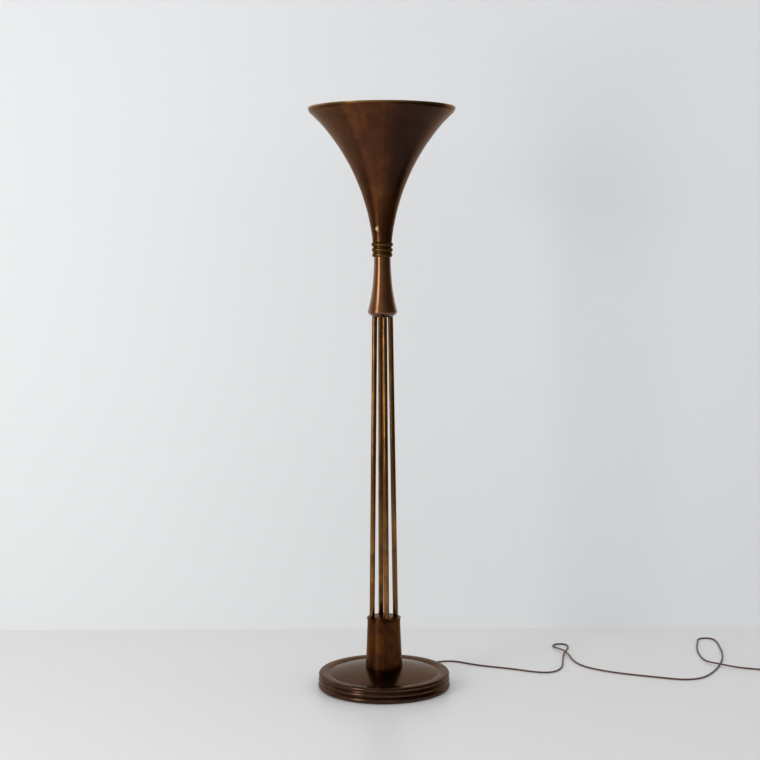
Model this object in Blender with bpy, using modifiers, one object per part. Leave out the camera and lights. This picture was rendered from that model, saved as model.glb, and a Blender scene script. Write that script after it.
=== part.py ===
"""Torchiere floor lamp: a spun brass trumpet shade on a beaded collar, a flared neck, four splayed
rods, a cup and a weighted base, with a push-button switch in the shade's neck and a mains cord.

The lamp stands on z = 0 with its axis on the Z axis. Its front looks along -Y. Units are metres.
"""

import math

import bmesh
import bpy
import numpy as np
from mathutils import Matrix, Vector

MM = 0.001
GAP = 0.3 * MM  # between parts that touch

# ---- driving dimensions -------------------------------------------------------------------------
LARGE_STEPS = 36  # facets round the shade and the base
SMALL_STEPS = 20  # facets round the stem's parts
FINE_STEPS = 16  # facets round rods and small turned parts

# Base
FELT_THICK = 3.0 * MM
FELT_RADII = (140 * MM, 178 * MM)
PLATE_LOW = FELT_THICK + GAP
PLATE_THICK = 1.2 * MM
PLATE_RADIUS = 178 * MM
COVER_LOW = 1.2 * MM
COVER_BEAD_RADIUS = 7.6 * MM
COVER_BEAD_REACH = (195.6 * MM, 194.6 * MM, 194.0 * MM)  # outermost radius of each bead, lowest first
COVER_WALL = 1.5 * MM
COVER_INNER_RADIUS = 184.3 * MM
BAND_INNER_RADIUS = 166 * MM  # where the raised band meets the dome
DOME_EDGE_HEIGHT = 43.6 * MM
DOME_TOP = 60.0 * MM
DOME_FLAT_RADIUS = 58 * MM
DOME_SLOPE = 0.35  # share of the dome's fall that is a straight slope; the rest is round
BAND_ROUND = 5 * MM  # run of the band's rounded inner edge
BAND_DROP = 0.6 * MM
BAND_SET_BACK = 3 * MM  # from the band's flat top to the top bead's middle
WEIGHT_RADIUS = 150 * MM
WEIGHT_LOW = 12 * MM
WEIGHT_HIGH = 26 * MM
HUB_RADIUS = 22 * MM
WEIGHT_SLOT_RADIUS = 14 * MM  # the inner lead bends upwards through it
BOSS_RADIUS = 9 * MM
BOSS_CIRCLE = 110 * MM
BOSS_ANGLES = (30, 150, 270)
BOSS_HEIGHT = 12 * MM
SCREW_HOLE_RADIUS = 2.4 * MM
SCREW_TOP = 19 * MM
SCREW_HEAD_RADIUS = 4.2 * MM
SCREW_SHANK_RADIUS = 2.0 * MM
BOLT_RADIUS = 5.0 * MM
BOLT_HOLE_RADIUS = 5.4 * MM
BOLT_LOW = 5.2 * MM
BOLT_HIGH = 196 * MM
WASHER_RADIUS = 12 * MM
WASHER_LOW = 10.2 * MM
CENTRE_NUT_RADIUS = 9.8 * MM
CENTRE_NUT_LOW = 5.0 * MM
CENTRE_NUT_HIGH = 9.9 * MM

# Cup and lower rod plate
CUP_PROFILE = (  # radius, height; top to bottom
    (48.7 * MM, 203.6 * MM),
    (48.7 * MM, 192.0 * MM),
    (50.3 * MM, 150.0 * MM),
    (52.2 * MM, 105.0 * MM),
    (54.0 * MM, 76.0 * MM),
    (54.8 * MM, DOME_TOP + GAP),
)
CUP_WALL = 1.5 * MM
LOWER_PLATE_TOP = 208.4 * MM
LOWER_PLATE_LOW = 203.9 * MM
LOWER_PLATE_RADIUS = 50.3 * MM
LOWER_REGISTER_RADIUS = 46.8 * MM
LOWER_REGISTER_LOW = 198.0 * MM
LOWER_BOSS_LOW = 180.0 * MM
LOWER_BOSS_RADIUS = 10 * MM

# Rods
ROD_TURN = math.radians(13.3)  # turn of the square of rods about the lamp's axis
ROD_RADIUS = 7.1 * MM
ROD_BORE = 5.6 * MM
ROD_LOW = LOWER_PLATE_TOP + GAP
ROD_HIGH = 1095.9 * MM
ROD_CIRCLE_LOW = 35.6 * MM
ROD_CIRCLE_HIGH = 23.6 * MM
ROD_ANGLES = {"front": -90, "right": 0, "back": 90, "left": 180}
TIE_RADIUS = 3.0 * MM
TIE_HOLE = 3.4 * MM
TIE_LOW = 191 * MM
TIE_HIGH = 1113 * MM
NUT_THICK = 5 * MM
TIE_NUT_RADIUS = 5.77 * MM
NIPPLE_RADIUS = 5.0 * MM
NIPPLE_BORE = 3.4 * MM
NIPPLE_HOLE = 5.35 * MM
NIPPLE_FLANGE = 7.6 * MM

# Upper rod plate, neck and collar
UPPER_PLATE_LOW = ROD_HIGH + GAP
UPPER_PLATE_RADIUS = 31.0 * MM
UPPER_LIP = 2.4 * MM
UPPER_REGISTER_RADIUS = 28.4 * MM
UPPER_REGISTER_HIGH = 1106.0 * MM
NECK_WALL = 1.2 * MM
NECK_PROFILE = (  # radius, height; top to bottom, then the undercut
    (24.3 * MM, 1270.8 * MM),
    (24.6 * MM, 1250.0 * MM),
    (26.1 * MM, 1221.0 * MM),
    (28.6 * MM, 1190.0 * MM),
    (32.2 * MM, 1163.0 * MM),
    (36.6 * MM, 1139.5 * MM),
    (41.2 * MM, 1120.0 * MM),
    (43.3 * MM, 1111.5 * MM),
    (42.7 * MM, 1109.0 * MM),
    (31.0 * MM, 1098.9 * MM),
)
COLLAR_LOW = 1271.1 * MM
COLLAR_HIGH = 1313.3 * MM
COLLAR_BORE = 20.0 * MM
COLLAR_GROOVE = 26.0 * MM
COLLAR_TOP_RADIUS = 27.6 * MM
COLLAR_UNDERCUT = 0.6 * MM
COLLAR_BEADS = (  # height of the middle, outermost radius; top to bottom
    (1307.0 * MM, 31.6 * MM),
    (1291.5 * MM, 30.6 * MM),
    (1276.9 * MM, 29.4 * MM),
)
COLLAR_BEAD_HALF = 6.0 * MM

# Shade
SHADE_WALL = 1.2 * MM
SHADE_TOP = 1699.7 * MM
SHADE_PROFILE = (  # radius, height; top to bottom
    (213.5 * MM, SHADE_TOP),
    (209.8 * MM, 1688.5 * MM),
    (199.0 * MM, 1677.5 * MM),
    (156.0 * MM, 1631.0 * MM),
    (108.8 * MM, 1562.3 * MM),
    (73.9 * MM, 1493.3 * MM),
    (49.4 * MM, 1424.2 * MM),
    (35.4 * MM, 1366.5 * MM),
    (29.3 * MM, 1328.0 * MM),
    (28.4 * MM, 1315.0 * MM),
)
SHADE_SEAT = 1313.8 * MM
SHADE_HOLE = 20.0 * MM
DISC_LOW = 1315.5 * MM
DISC_THICK = 2.0 * MM
DISC_RADIUS = 26.0 * MM
PIPE_RADIUS = 5.0 * MM
PIPE_BORE = 3.8 * MM
PIPE_HOLE = 5.35 * MM
PIPE_LOW = 1099.0 * MM
PIPE_HIGH = 1386.0 * MM
PIPE_NUT_RADIUS = 8.1 * MM

# Switch
SWITCH_AZIMUTH = 246.3  # degrees, from +X towards +Y
SWITCH_HEIGHT = 1352.3 * MM
SWITCH_FACE_RADIUS = 33.0 * MM  # the shade's outer radius there
SWITCH_TILT = 9.9  # degrees below the horizontal, square to the shade's wall
BUSH_RADIUS = 4.2 * MM
BUTTON_RADIUS = 2.8 * MM
BUTTON_BORE = 3.1 * MM
BUTTON_OUT = 4.6 * MM
BUTTON_IN = -6.0 * MM
SWITCH_FRONT = -2.8 * MM
SWITCH_BACK = -17.0 * MM
SWITCH_SIDE = 14.0 * MM
RING_NUT_RADIUS = 6.7 * MM
RING_NUT_HIGH = 3.3 * MM

# Lampholder and lamp
HOLDER_LOW = 1374 * MM
HOLDER_CAP_HIGH = 1392 * MM
HOLDER_HIGH = 1436 * MM
HOLDER_RADIUS = 20 * MM
HOLDER_BORE = 17.5 * MM
LAMP_CAP_LOW = 1402 * MM
LAMP_CAP_HIGH = 1427 * MM
LAMP_CAP_RADIUS = 13.2 * MM
LAMP_TOP = 1512 * MM
LAMP_RADIUS = 30 * MM

# Leads, cord, coil and plug
LEAD_RADIUS = 2.2 * MM
LEAD_FLOOR = 8.4 * MM
CORD_DIAMETER = 5.0 * MM
CORD_REST = CORD_DIAMETER / 2 + 0.3 * MM  # height of the cord's middle as it lies
GLAND_AZIMUTH = 58  # degrees
GLAND_HEIGHT = 8.8 * MM
GLAND_END = 224 * MM
CORD_START = GLAND_END + GAP
CORD_ROUTE = (  # along the floor; where z rises, the cord passes over an earlier strand
    (0.1340, 0.2140, 0.0072),
    (0.1760, 0.2585, CORD_REST),
    (0.2140, 0.2640, CORD_REST),
    (0.2520, 0.2440, CORD_REST),
    (0.2900, 0.2190, CORD_REST),
    (0.4140, 0.1620, CORD_REST),
    (0.4700, 0.1340, CORD_REST),
    (0.5110, 0.1330, CORD_REST),
    (0.5430, 0.1700, CORD_REST),
    (0.5600, 0.2420, CORD_REST),
    (0.5690, 0.3050, CORD_REST),
    (0.5810, 0.3668, CORD_REST),
    (0.6008, 0.4420, CORD_REST),
    (0.5968, 0.4635, CORD_REST),
    (0.5778, 0.4738, CORD_REST),
    (0.5590, 0.4640, CORD_REST),
    (0.5530, 0.4440, CORD_REST + 0.1 * MM),
    (0.5620, 0.4150, CORD_REST + 2.2 * MM),
    (0.5790, 0.3668, CORD_REST + 5.5 * MM),
    (0.5895, 0.3250, CORD_REST + 3.0 * MM),
    (0.5950, 0.2800, CORD_REST + 0.3 * MM),
    (0.6240, 0.1960, CORD_REST),
    (0.6640, 0.1550, CORD_REST),
    (0.8450, 0.0640, CORD_REST),
    (0.8990, 0.0470, CORD_REST),
    (0.9440, 0.0550, CORD_REST),
    (0.9860, 0.0960, CORD_REST),
    (1.0390, 0.1960, CORD_REST),
    (1.0780, 0.3180, CORD_REST),
    (1.0950, 0.4450, CORD_REST),
    (1.0975, 0.5080, CORD_REST),
    (1.0910, 0.5325, CORD_REST),
    (1.0690, 0.5430, CORD_REST),
    (1.0480, 0.5320, CORD_REST),
    (1.0370, 0.5020, CORD_REST),
    (1.0180, 0.4210, CORD_REST),
    (1.0070, 0.3250, CORD_REST),
    (1.0130, 0.2530, CORD_REST + 1.0 * MM),
    (1.0390, 0.2010, CORD_REST + 5.6 * MM),
    (1.0910, 0.1760, CORD_REST + 1.6 * MM),
    (1.1560, 0.1540, CORD_REST),
    (1.1925, 0.1412, CORD_REST),
)
SAMPLES_PER_SPAN = 2
COIL_CENTRE = (1.2200, 0.1660)
COIL_RADIUS = 28.0 * MM  # to the middle of the turns
COIL_HALF_WIDTH = 5.2 * MM
COIL_LOW = 1.2 * MM
COIL_HEIGHT = 10.4 * MM
PLUG_LENGTH = 36 * MM
PLUG_WIDTH = 26 * MM
PLUG_THICK = 13.6 * MM
PLUG_REAR = 0.2100  # y of the plug's cord end
PIN_RADIUS = 2.0 * MM
PIN_LENGTH = 19 * MM
PIN_SPACING = 18.6 * MM

for old in list(bpy.data.objects):
    bpy.data.objects.remove(old, do_unlink=True)

LAMP = bpy.data.collections.new("torchiere_floor_lamp")
CUTTERS = bpy.data.collections.new("cutters")
bpy.context.scene.collection.children.link(LAMP)
bpy.context.scene.collection.children.link(CUTTERS)


# ---- materials ----------------------------------------------------------------------------------
def finish(name, colour, metallic, roughness):
    """A Principled BSDF material of one colour."""
    material = bpy.data.materials.new(name)
    material.use_nodes = True
    shader = material.node_tree.nodes["Principled BSDF"]
    shader.inputs["Base Color"].default_value = (*colour, 1.0)
    shader.inputs["Metallic"].default_value = metallic
    shader.inputs["Roughness"].default_value = roughness
    return material


DARK_BRASS = finish("dark_patinated_brass", (0.075, 0.030, 0.014), 1.0, 0.30)
GOLD_BRASS = finish("aged_gold_brass", (0.22, 0.13, 0.05), 1.0, 0.28)
BASE_BRASS = finish("base_brass", (0.09, 0.055, 0.035), 1.0, 0.22)
STEEL = finish("zinc_plated_steel", (0.55, 0.55, 0.53), 1.0, 0.35)
IRON = finish("cast_iron", (0.06, 0.06, 0.06), 0.6, 0.7)
FELT = finish("green_felt", (0.05, 0.09, 0.05), 0.0, 0.95)
PORCELAIN = finish("white_porcelain", (0.80, 0.78, 0.72), 0.0, 0.25)
BLACK_PLASTIC = finish("black_bakelite", (0.02, 0.015, 0.012), 0.0, 0.35)
NICKEL = finish("nickel_plate", (0.60, 0.57, 0.52), 1.0, 0.25)
GLASS = finish("frosted_glass", (0.90, 0.90, 0.88), 0.0, 0.40)
BRAID = finish("brown_textile_braid", (0.05, 0.03, 0.02), 0.0, 0.85)
RUBBER = finish("black_rubber", (0.02, 0.02, 0.02), 0.0, 0.6)


# ---- shapes -------------------------------------------------------------------------------------
def place(obj, material, collection=LAMP):
    """Links an object and gives it its material."""
    collection.objects.link(obj)
    if material:
        obj.data.materials.append(material)
    return obj


def turned(name, profile, material, steps=SMALL_STEPS, closed=False, wall=0.0):
    """A turned part: the profile, running down its outer side, turned round Z, with a wall if open."""
    mesh = bpy.data.meshes.new(name)
    points = [(radius, 0.0, height) for radius, height in profile]
    edges = [(i, i + 1) for i in range(len(points) - 1)]
    if closed:
        edges.append((len(points) - 1, 0))
    mesh.from_pydata(points, edges, [])
    obj = place(bpy.data.objects.new(name, mesh), material)
    screw = obj.modifiers.new("turn", "SCREW")
    screw.axis = "Z"
    screw.angle = 2 * math.pi
    screw.steps = steps
    screw.render_steps = steps
    screw.use_merge_vertices = True
    screw.merge_threshold = 0.00002
    if wall:
        shell = obj.modifiers.new("wall", "SOLIDIFY")
        shell.thickness = wall
        shell.offset = -1.0
        shell.use_even_offset = True
    return obj


def ring(name, inner, outer, low, high, material, steps=SMALL_STEPS):
    """A plain ring between two radii and two heights."""
    return turned(name, ((inner, high), (outer, high), (outer, low), (inner, low)), material, steps, closed=True)


def disc(name, radius, low, high, material, steps=SMALL_STEPS):
    """A plain disc between two heights."""
    return turned(name, ((0.0, high), (radius, high), (radius, low), (0.0, low)), material, steps)


def smooth(points, samples):
    """Points along the natural cubic spline through the given ones, this many for each stretch."""
    knots = np.array([tuple(point) for point in points], float)
    gaps = np.linalg.norm(np.diff(knots, axis=0), axis=1)
    count = len(knots)
    system, target = np.eye(count), np.zeros((count, 3))
    for i in range(1, count - 1):
        system[i, i - 1 : i + 2] = gaps[i - 1], 2 * (gaps[i - 1] + gaps[i]), gaps[i]
        target[i] = 6 * ((knots[i + 1] - knots[i]) / gaps[i] - (knots[i] - knots[i - 1]) / gaps[i - 1])
    bends = np.linalg.solve(system, target)
    found = []
    for i, gap in enumerate(gaps):
        for step in range(samples):
            on, left = gap * step / samples, gap * (1 - step / samples)
            near = bends[i] * left**3 / (6 * gap) + (knots[i] / gap - bends[i] * gap / 6) * left
            far = bends[i + 1] * on**3 / (6 * gap) + (knots[i + 1] / gap - bends[i + 1] * gap / 6) * on
            found.append(Vector(near + far))
    return [*found, Vector(knots[-1])]


def smooth_profile(points, samples=2):
    """The same for a profile of radius and height."""
    return [(p.x, p.y) for p in smooth([(radius, height, 0.0) for radius, height in points], samples)]


def tube(name, points, radius, material, sides=2):
    """A closed round tube along points."""
    curve = bpy.data.curves.new(name, "CURVE")
    curve.dimensions = "3D"
    curve.bevel_depth = radius
    curve.bevel_resolution = sides
    curve.use_fill_caps = True
    line = curve.splines.new("POLY")
    line.points.add(len(points) - 1)
    for point, where in zip(line.points, points):
        point.co = (*where, 1.0)
    return place(bpy.data.objects.new(name, curve), material)


def cylinder(name, start, end, radius, material, steps=FINE_STEPS, collection=LAMP):
    """A solid cylinder between two points, for shafts and for cutters."""
    start, end = Vector(start), Vector(end)
    mesh = bpy.data.meshes.new(name)
    solid = bmesh.new()
    bmesh.ops.create_cone(
        solid, cap_ends=True, segments=steps, radius1=radius, radius2=radius, depth=(end - start).length
    )
    solid.to_mesh(mesh)
    solid.free()
    obj = place(bpy.data.objects.new(name, mesh), material, collection)
    turn = (end - start).to_track_quat("Z", "Y").to_matrix().to_4x4()
    obj.matrix_world = Matrix.Translation((start + end) / 2) @ turn
    return obj


def block(name, size, matrix, material, bevel=0.0, collection=LAMP):
    """A box of this size with rounded edges, placed by a matrix."""
    mesh = bpy.data.meshes.new(name)
    solid = bmesh.new()
    bmesh.ops.create_cube(solid, size=1.0, matrix=Matrix.Diagonal((*size, 1.0)))
    solid.to_mesh(mesh)
    solid.free()
    obj = place(bpy.data.objects.new(name, mesh), material, collection)
    obj.matrix_world = matrix
    if bevel:
        edge = obj.modifiers.new("edges", "BEVEL")
        edge.width = bevel
        edge.segments = 2
    return obj


def cutter(name, start, end, radius, steps=FINE_STEPS):
    """A hidden cylinder that a Boolean takes away."""
    obj = cylinder(name, start, end, radius, None, steps, CUTTERS)
    obj.hide_render = True
    obj.display_type = "WIRE"
    return obj


def cut(obj, *tools):
    """Takes each tool away from the object."""
    for tool in tools:
        hole = obj.modifiers.new("cut_" + tool.name, "BOOLEAN")
        hole.object = tool
        hole.operation = "DIFFERENCE"
        hole.solver = "EXACT"


def polar(radius, degrees, height):
    """A point at a radius and an azimuth round the lamp's axis."""
    angle = math.radians(degrees)
    return Vector((radius * math.cos(angle), radius * math.sin(angle), height))


def rod_point(side, height):
    """The middle of a rod at a height: the rods lean outwards towards the floor."""
    share = (height - ROD_LOW) / (ROD_HIGH - ROD_LOW)
    circle = ROD_CIRCLE_LOW + share * (ROD_CIRCLE_HIGH - ROD_CIRCLE_LOW)
    return polar(circle, ROD_ANGLES[side] + math.degrees(ROD_TURN), height)


def on_rod(obj, side, height):
    """Moves an object made on the Z axis onto a rod's line, its own zero at this height."""
    lean = (rod_point(side, ROD_HIGH) - rod_point(side, ROD_LOW)).to_track_quat("Z", "Y")
    obj.matrix_world = Matrix.Translation(rod_point(side, height)) @ lean.to_matrix().to_4x4()
    return obj


# ---- cutters that several parts share -----------------------------------------------------------
TIED = ("left", "right", "front")
TIE_CUTTERS = {
    side: cutter(f"tie_hole_{side}", rod_point(side, TIE_LOW - 0.01), rod_point(side, TIE_HIGH + 0.01), TIE_HOLE, 12)
    for side in TIED
}
NIPPLE_CUTTER = cutter("nipple_hole", rod_point("back", 0.185), rod_point("back", 1.118), NIPPLE_HOLE)
LEAD_UP = rod_point("back", 0.1)
LEAD_HOLE = cutter("lead_hole", (LEAD_UP.x, LEAD_UP.y, 0.0), (LEAD_UP.x, LEAD_UP.y, 0.075), 4.4 * MM, 12)
WEIGHT_SLOT_MIDDLE = LEAD_UP.xy * 1.22
WEIGHT_SLOT = cutter(
    "weight_slot", (*WEIGHT_SLOT_MIDDLE, 0.002), (*WEIGHT_SLOT_MIDDLE, 0.040), WEIGHT_SLOT_RADIUS
)
BOLT_HOLE = cutter("bolt_hole", (0, 0, 0.002), (0, 0, 0.198), BOLT_HOLE_RADIUS)


# ---- base ---------------------------------------------------------------------------------------
def cover_profile():
    """The cover's closed section: dome and band, three beads down the side, and the plain inner wall."""
    bead_high = COVER_LOW + 6 * COVER_BEAD_RADIUS
    outer = [(BOLT_HOLE_RADIUS, DOME_TOP), (DOME_FLAT_RADIUS, DOME_TOP)]
    for share in (0.35, 0.7):
        radius = DOME_FLAT_RADIUS + share * (BAND_INNER_RADIUS - DOME_FLAT_RADIUS)
        outer.append((radius, DOME_TOP - (DOME_TOP - DOME_EDGE_HEIGHT) * (DOME_SLOPE * share + (1 - DOME_SLOPE) * share**2)))
    outer += [(BAND_INNER_RADIUS, DOME_EDGE_HEIGHT), (BAND_INNER_RADIUS + BAND_ROUND, bead_high - BAND_DROP)]
    outer.append((COVER_BEAD_REACH[2] - COVER_BEAD_RADIUS - BAND_SET_BACK, bead_high))
    for index in (2, 1, 0):
        middle = COVER_LOW + (2 * index + 1) * COVER_BEAD_RADIUS
        centre = COVER_BEAD_REACH[index] - COVER_BEAD_RADIUS
        angles = (62, 25, -25, -62)
        if index == 2:
            angles = (85, 50, 20, -25, -62)
        for angle in angles:
            outer.append(
                (
                    centre + COVER_BEAD_RADIUS * math.cos(math.radians(angle)),
                    middle + COVER_BEAD_RADIUS * math.sin(math.radians(angle)),
                )
            )
    outer.append((COVER_BEAD_REACH[0] - COVER_BEAD_RADIUS, COVER_LOW))
    inner = [(COVER_INNER_RADIUS, COVER_LOW), (COVER_INNER_RADIUS, bead_high - 4 * COVER_WALL)]
    inner.append((BAND_INNER_RADIUS, DOME_EDGE_HEIGHT - 2 * COVER_WALL))
    inner.append((DOME_FLAT_RADIUS + 40 * MM, DOME_TOP - 4 * COVER_WALL))
    inner.append((DOME_FLAT_RADIUS, DOME_TOP - COVER_WALL))
    inner.append((BOLT_HOLE_RADIUS, DOME_TOP - COVER_WALL))
    return [*outer, *inner]


def build_base():
    """Felt ring, bottom plate with its screws, weight, cover, and the clamping bolt."""
    ring("floor_felt_ring", *FELT_RADII, 0.0, FELT_THICK, FELT, LARGE_STEPS)
    plate = disc("bottom_plate", PLATE_RADIUS, PLATE_LOW, PLATE_LOW + PLATE_THICK, STEEL, LARGE_STEPS)
    hub_high = DOME_TOP - COVER_WALL - GAP
    weight = turned(
        "base_weight",
        (
            (BOLT_HOLE_RADIUS, hub_high),
            (HUB_RADIUS, hub_high),
            (HUB_RADIUS, WEIGHT_HIGH),
            (WEIGHT_RADIUS, WEIGHT_HIGH),
            (WEIGHT_RADIUS, WEIGHT_LOW),
            (BOLT_HOLE_RADIUS, WEIGHT_LOW),
        ),
        IRON,
        LARGE_STEPS,
        closed=True,
    )
    cut(weight, WEIGHT_SLOT)
    for number, angle in enumerate(BOSS_ANGLES, 1):
        foot = polar(BOSS_CIRCLE, angle, PLATE_LOW + PLATE_THICK + GAP)
        post = cylinder(f"boss_{number}", foot, foot + Vector((0, 0, BOSS_HEIGHT)), BOSS_RADIUS, None, 16, CUTTERS)
        post.hide_render = True
        post.display_type = "WIRE"
        join = weight.modifiers.new(f"boss_{number}", "BOOLEAN")
        join.object = post
        join.operation = "UNION"
        join.solver = "EXACT"
        axis = polar(BOSS_CIRCLE, angle, 0.0)
        cut(weight, cutter(f"screw_hole_{number}", axis, axis + Vector((0, 0, SCREW_TOP + 2 * MM)), SCREW_HOLE_RADIUS, 12))
        cut(plate, cutter(f"plate_hole_{number}", axis, axis + Vector((0, 0, 2 * PLATE_LOW)), SCREW_HOLE_RADIUS, 12))
        screw = turned(
            f"plate_screw_{number}",
            (
                (0.0, SCREW_TOP),
                (SCREW_SHANK_RADIUS, SCREW_TOP),
                (SCREW_SHANK_RADIUS, PLATE_LOW - GAP),
                (SCREW_HEAD_RADIUS, PLATE_LOW - GAP),
                (SCREW_HEAD_RADIUS * 0.8, 1.0 * MM),
                (0.0, 0.8 * MM),
            ),
            STEEL,
            12,
        )
        screw.location = axis
    cover = turned("base_cover", cover_profile(), BASE_BRASS, LARGE_STEPS, closed=True)
    inside = polar(COVER_INNER_RADIUS - 8 * MM, GLAND_AZIMUTH, GLAND_HEIGHT)
    outside = polar(COVER_BEAD_REACH[0] + 8 * MM, GLAND_AZIMUTH, GLAND_HEIGHT)
    cut(cover, LEAD_HOLE, cutter("gland_hole", inside, outside, 5.0 * MM))
    disc("centre_bolt", BOLT_RADIUS, BOLT_LOW, BOLT_HIGH, STEEL, FINE_STEPS)
    ring("centre_washer", BOLT_HOLE_RADIUS, WASHER_RADIUS, WASHER_LOW, WEIGHT_LOW - GAP, STEEL, FINE_STEPS)
    nut = disc("centre_nut", CENTRE_NUT_RADIUS, CENTRE_NUT_LOW, CENTRE_NUT_HIGH, STEEL, 6)
    cut(nut, BOLT_HOLE)


# ---- cup, rods and rod plates -------------------------------------------------------------------
def lower_plate_profile():
    """The lower rod plate: flat top, half-round rim, register inside the cup, and a boss for the bolt."""
    bead = (LOWER_PLATE_TOP - LOWER_PLATE_LOW) / 2
    rim = [
        (
            LOWER_PLATE_RADIUS - bead + bead * math.cos(math.radians(angle)),
            LOWER_PLATE_LOW + bead + bead * math.sin(math.radians(angle)),
        )
        for angle in (90, 45, 0, -45, -90)
    ]
    return [
        (0.0, LOWER_PLATE_TOP),
        *rim,
        (LOWER_REGISTER_RADIUS, LOWER_PLATE_LOW),
        (LOWER_REGISTER_RADIUS, LOWER_REGISTER_LOW),
        (LOWER_BOSS_RADIUS, LOWER_REGISTER_LOW),
        (LOWER_BOSS_RADIUS, LOWER_BOSS_LOW),
        (0.0, LOWER_BOSS_LOW),
    ]


def build_stem():
    """Cup, both rod plates, the four rods and what clamps them."""
    turned("stem_cup", CUP_PROFILE, DARK_BRASS, wall=CUP_WALL)
    lower = turned("lower_rod_plate", lower_plate_profile(), DARK_BRASS)
    cut(lower, BOLT_HOLE, *TIE_CUTTERS.values(), NIPPLE_CUTTER)
    lip = UPPER_PLATE_LOW + UPPER_LIP
    upper = turned(
        "upper_rod_plate",
        (
            (0.0, UPPER_REGISTER_HIGH),
            (UPPER_REGISTER_RADIUS, UPPER_REGISTER_HIGH),
            (UPPER_REGISTER_RADIUS, lip),
            (UPPER_PLATE_RADIUS, lip),
            (UPPER_PLATE_RADIUS, UPPER_PLATE_LOW),
            (0.0, UPPER_PLATE_LOW),
        ),
        GOLD_BRASS,
    )
    pipe_seat = cutter("pipe_seat", (0, 0, PIPE_LOW - GAP), (0, 0, UPPER_REGISTER_HIGH + 0.01), PIPE_HOLE)
    cut(upper, *TIE_CUTTERS.values(), NIPPLE_CUTTER, pipe_seat)
    length = (rod_point("left", ROD_HIGH) - rod_point("left", ROD_LOW)).length - 0.2 * MM
    for side in ROD_ANGLES:
        section = ((ROD_BORE, length), (ROD_RADIUS, length), (ROD_RADIUS, 0.1 * MM), (ROD_BORE, 0.1 * MM))
        on_rod(turned(f"rod_{side}", section, GOLD_BRASS, FINE_STEPS, closed=True), side, ROD_LOW)
    for side in TIED:
        cylinder(f"tie_rod_{side}", rod_point(side, TIE_LOW), rod_point(side, TIE_HIGH), TIE_RADIUS, STEEL, 8)
        for end, height in (
            ("lower", LOWER_REGISTER_LOW - NUT_THICK - 2 * GAP),
            ("upper", UPPER_REGISTER_HIGH + 2 * GAP),
        ):
            nut = disc(f"tie_nut_{side}_{end}", TIE_NUT_RADIUS, 0.0, NUT_THICK, STEEL, 6)
            on_rod(nut, side, height)
            cut(nut, TIE_CUTTERS[side])
    for end, foot, low, high in (
        ("lower", LOWER_REGISTER_LOW - NUT_THICK - 2 * GAP, -4 * MM, 30 * MM),
        ("upper", UPPER_REGISTER_HIGH + 2 * GAP + NUT_THICK, -32 * MM, 3 * MM),
    ):
        flange_low = 0.0 if end == "lower" else -NUT_THICK
        section = (
            (NIPPLE_BORE, high),
            (NIPPLE_RADIUS, high),
            (NIPPLE_RADIUS, flange_low + NUT_THICK),
            (NIPPLE_FLANGE, flange_low + NUT_THICK),
            (NIPPLE_FLANGE, flange_low),
            (NIPPLE_RADIUS, flange_low),
            (NIPPLE_RADIUS, low),
            (NIPPLE_BORE, low),
        )
        on_rod(turned(f"rod_nipple_{end}", section, NICKEL, 12, closed=True), "back", foot)


# ---- neck, collar and shade ---------------------------------------------------------------------
def collar_profile():
    """Three half-round beads with flat fillets between them, outside a plain bore."""
    outer = [(COLLAR_BORE, COLLAR_HIGH), (COLLAR_TOP_RADIUS, COLLAR_HIGH)]
    for middle, reach in COLLAR_BEADS:
        for angle in (75, 38, 0, -38, -75):
            radius = COLLAR_GROOVE + (reach - COLLAR_GROOVE) * math.cos(math.radians(angle))
            outer.append((radius, middle + COLLAR_BEAD_HALF * math.sin(math.radians(angle))))
    return [*outer, (COLLAR_GROOVE - COLLAR_UNDERCUT, COLLAR_LOW), (COLLAR_BORE, COLLAR_LOW)]


def build_head():
    """Neck, collar, shade and the pipe, disc and nut that hold them."""
    turned("neck_column", NECK_PROFILE, GOLD_BRASS, wall=NECK_WALL)
    turned("collar_ring", collar_profile(), GOLD_BRASS, closed=True)
    outer = smooth_profile(SHADE_PROFILE)
    seat = [(SHADE_PROFILE[-1][0] - 0.6 * MM, SHADE_SEAT), (SHADE_HOLE, SHADE_SEAT)]
    shade = turned("shade", [*outer, *seat], DARK_BRASS, LARGE_STEPS, wall=SHADE_WALL)
    normal = switch_matrix().to_3x3() @ Vector((0, 0, 1))
    face = polar(SWITCH_FACE_RADIUS, SWITCH_AZIMUTH, SWITCH_HEIGHT)
    cut(shade, cutter("switch_hole", face - 8 * MM * normal, face + 8 * MM * normal, 4.6 * MM))
    ring("centre_pipe", PIPE_BORE, PIPE_RADIUS, PIPE_LOW, PIPE_HIGH, STEEL, 12)
    clamp = ring("shade_clamp_disc", PIPE_HOLE, DISC_RADIUS, DISC_LOW, DISC_LOW + DISC_THICK, STEEL)
    way = polar(15 * MM, 225, 0.0)
    slot = cutter("lead_slot", way + Vector((0, 0, 1.31)), way + Vector((0, 0, 1.33)), 3.2 * MM, 12)
    cut(clamp, slot)
    nut_low = DISC_LOW + DISC_THICK + GAP
    nut = disc("pipe_nut", PIPE_NUT_RADIUS, nut_low, nut_low + NUT_THICK, STEEL, 6)
    cut(nut, cutter("pipe_nut_hole", (0, 0, nut_low - 0.01), (0, 0, nut_low + 0.015), PIPE_HOLE))


# ---- switch -------------------------------------------------------------------------------------
def switch_matrix():
    """The switch's own frame: its Z axis leaves the shade square to the wall, its zero on the wall."""
    tilt = math.radians(SWITCH_TILT)
    outwards = polar(math.cos(tilt), SWITCH_AZIMUTH, -math.sin(tilt))
    turn = outwards.to_track_quat("Z", "Y").to_matrix().to_4x4()
    return Matrix.Translation(polar(SWITCH_FACE_RADIUS, SWITCH_AZIMUTH, SWITCH_HEIGHT)) @ turn


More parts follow.
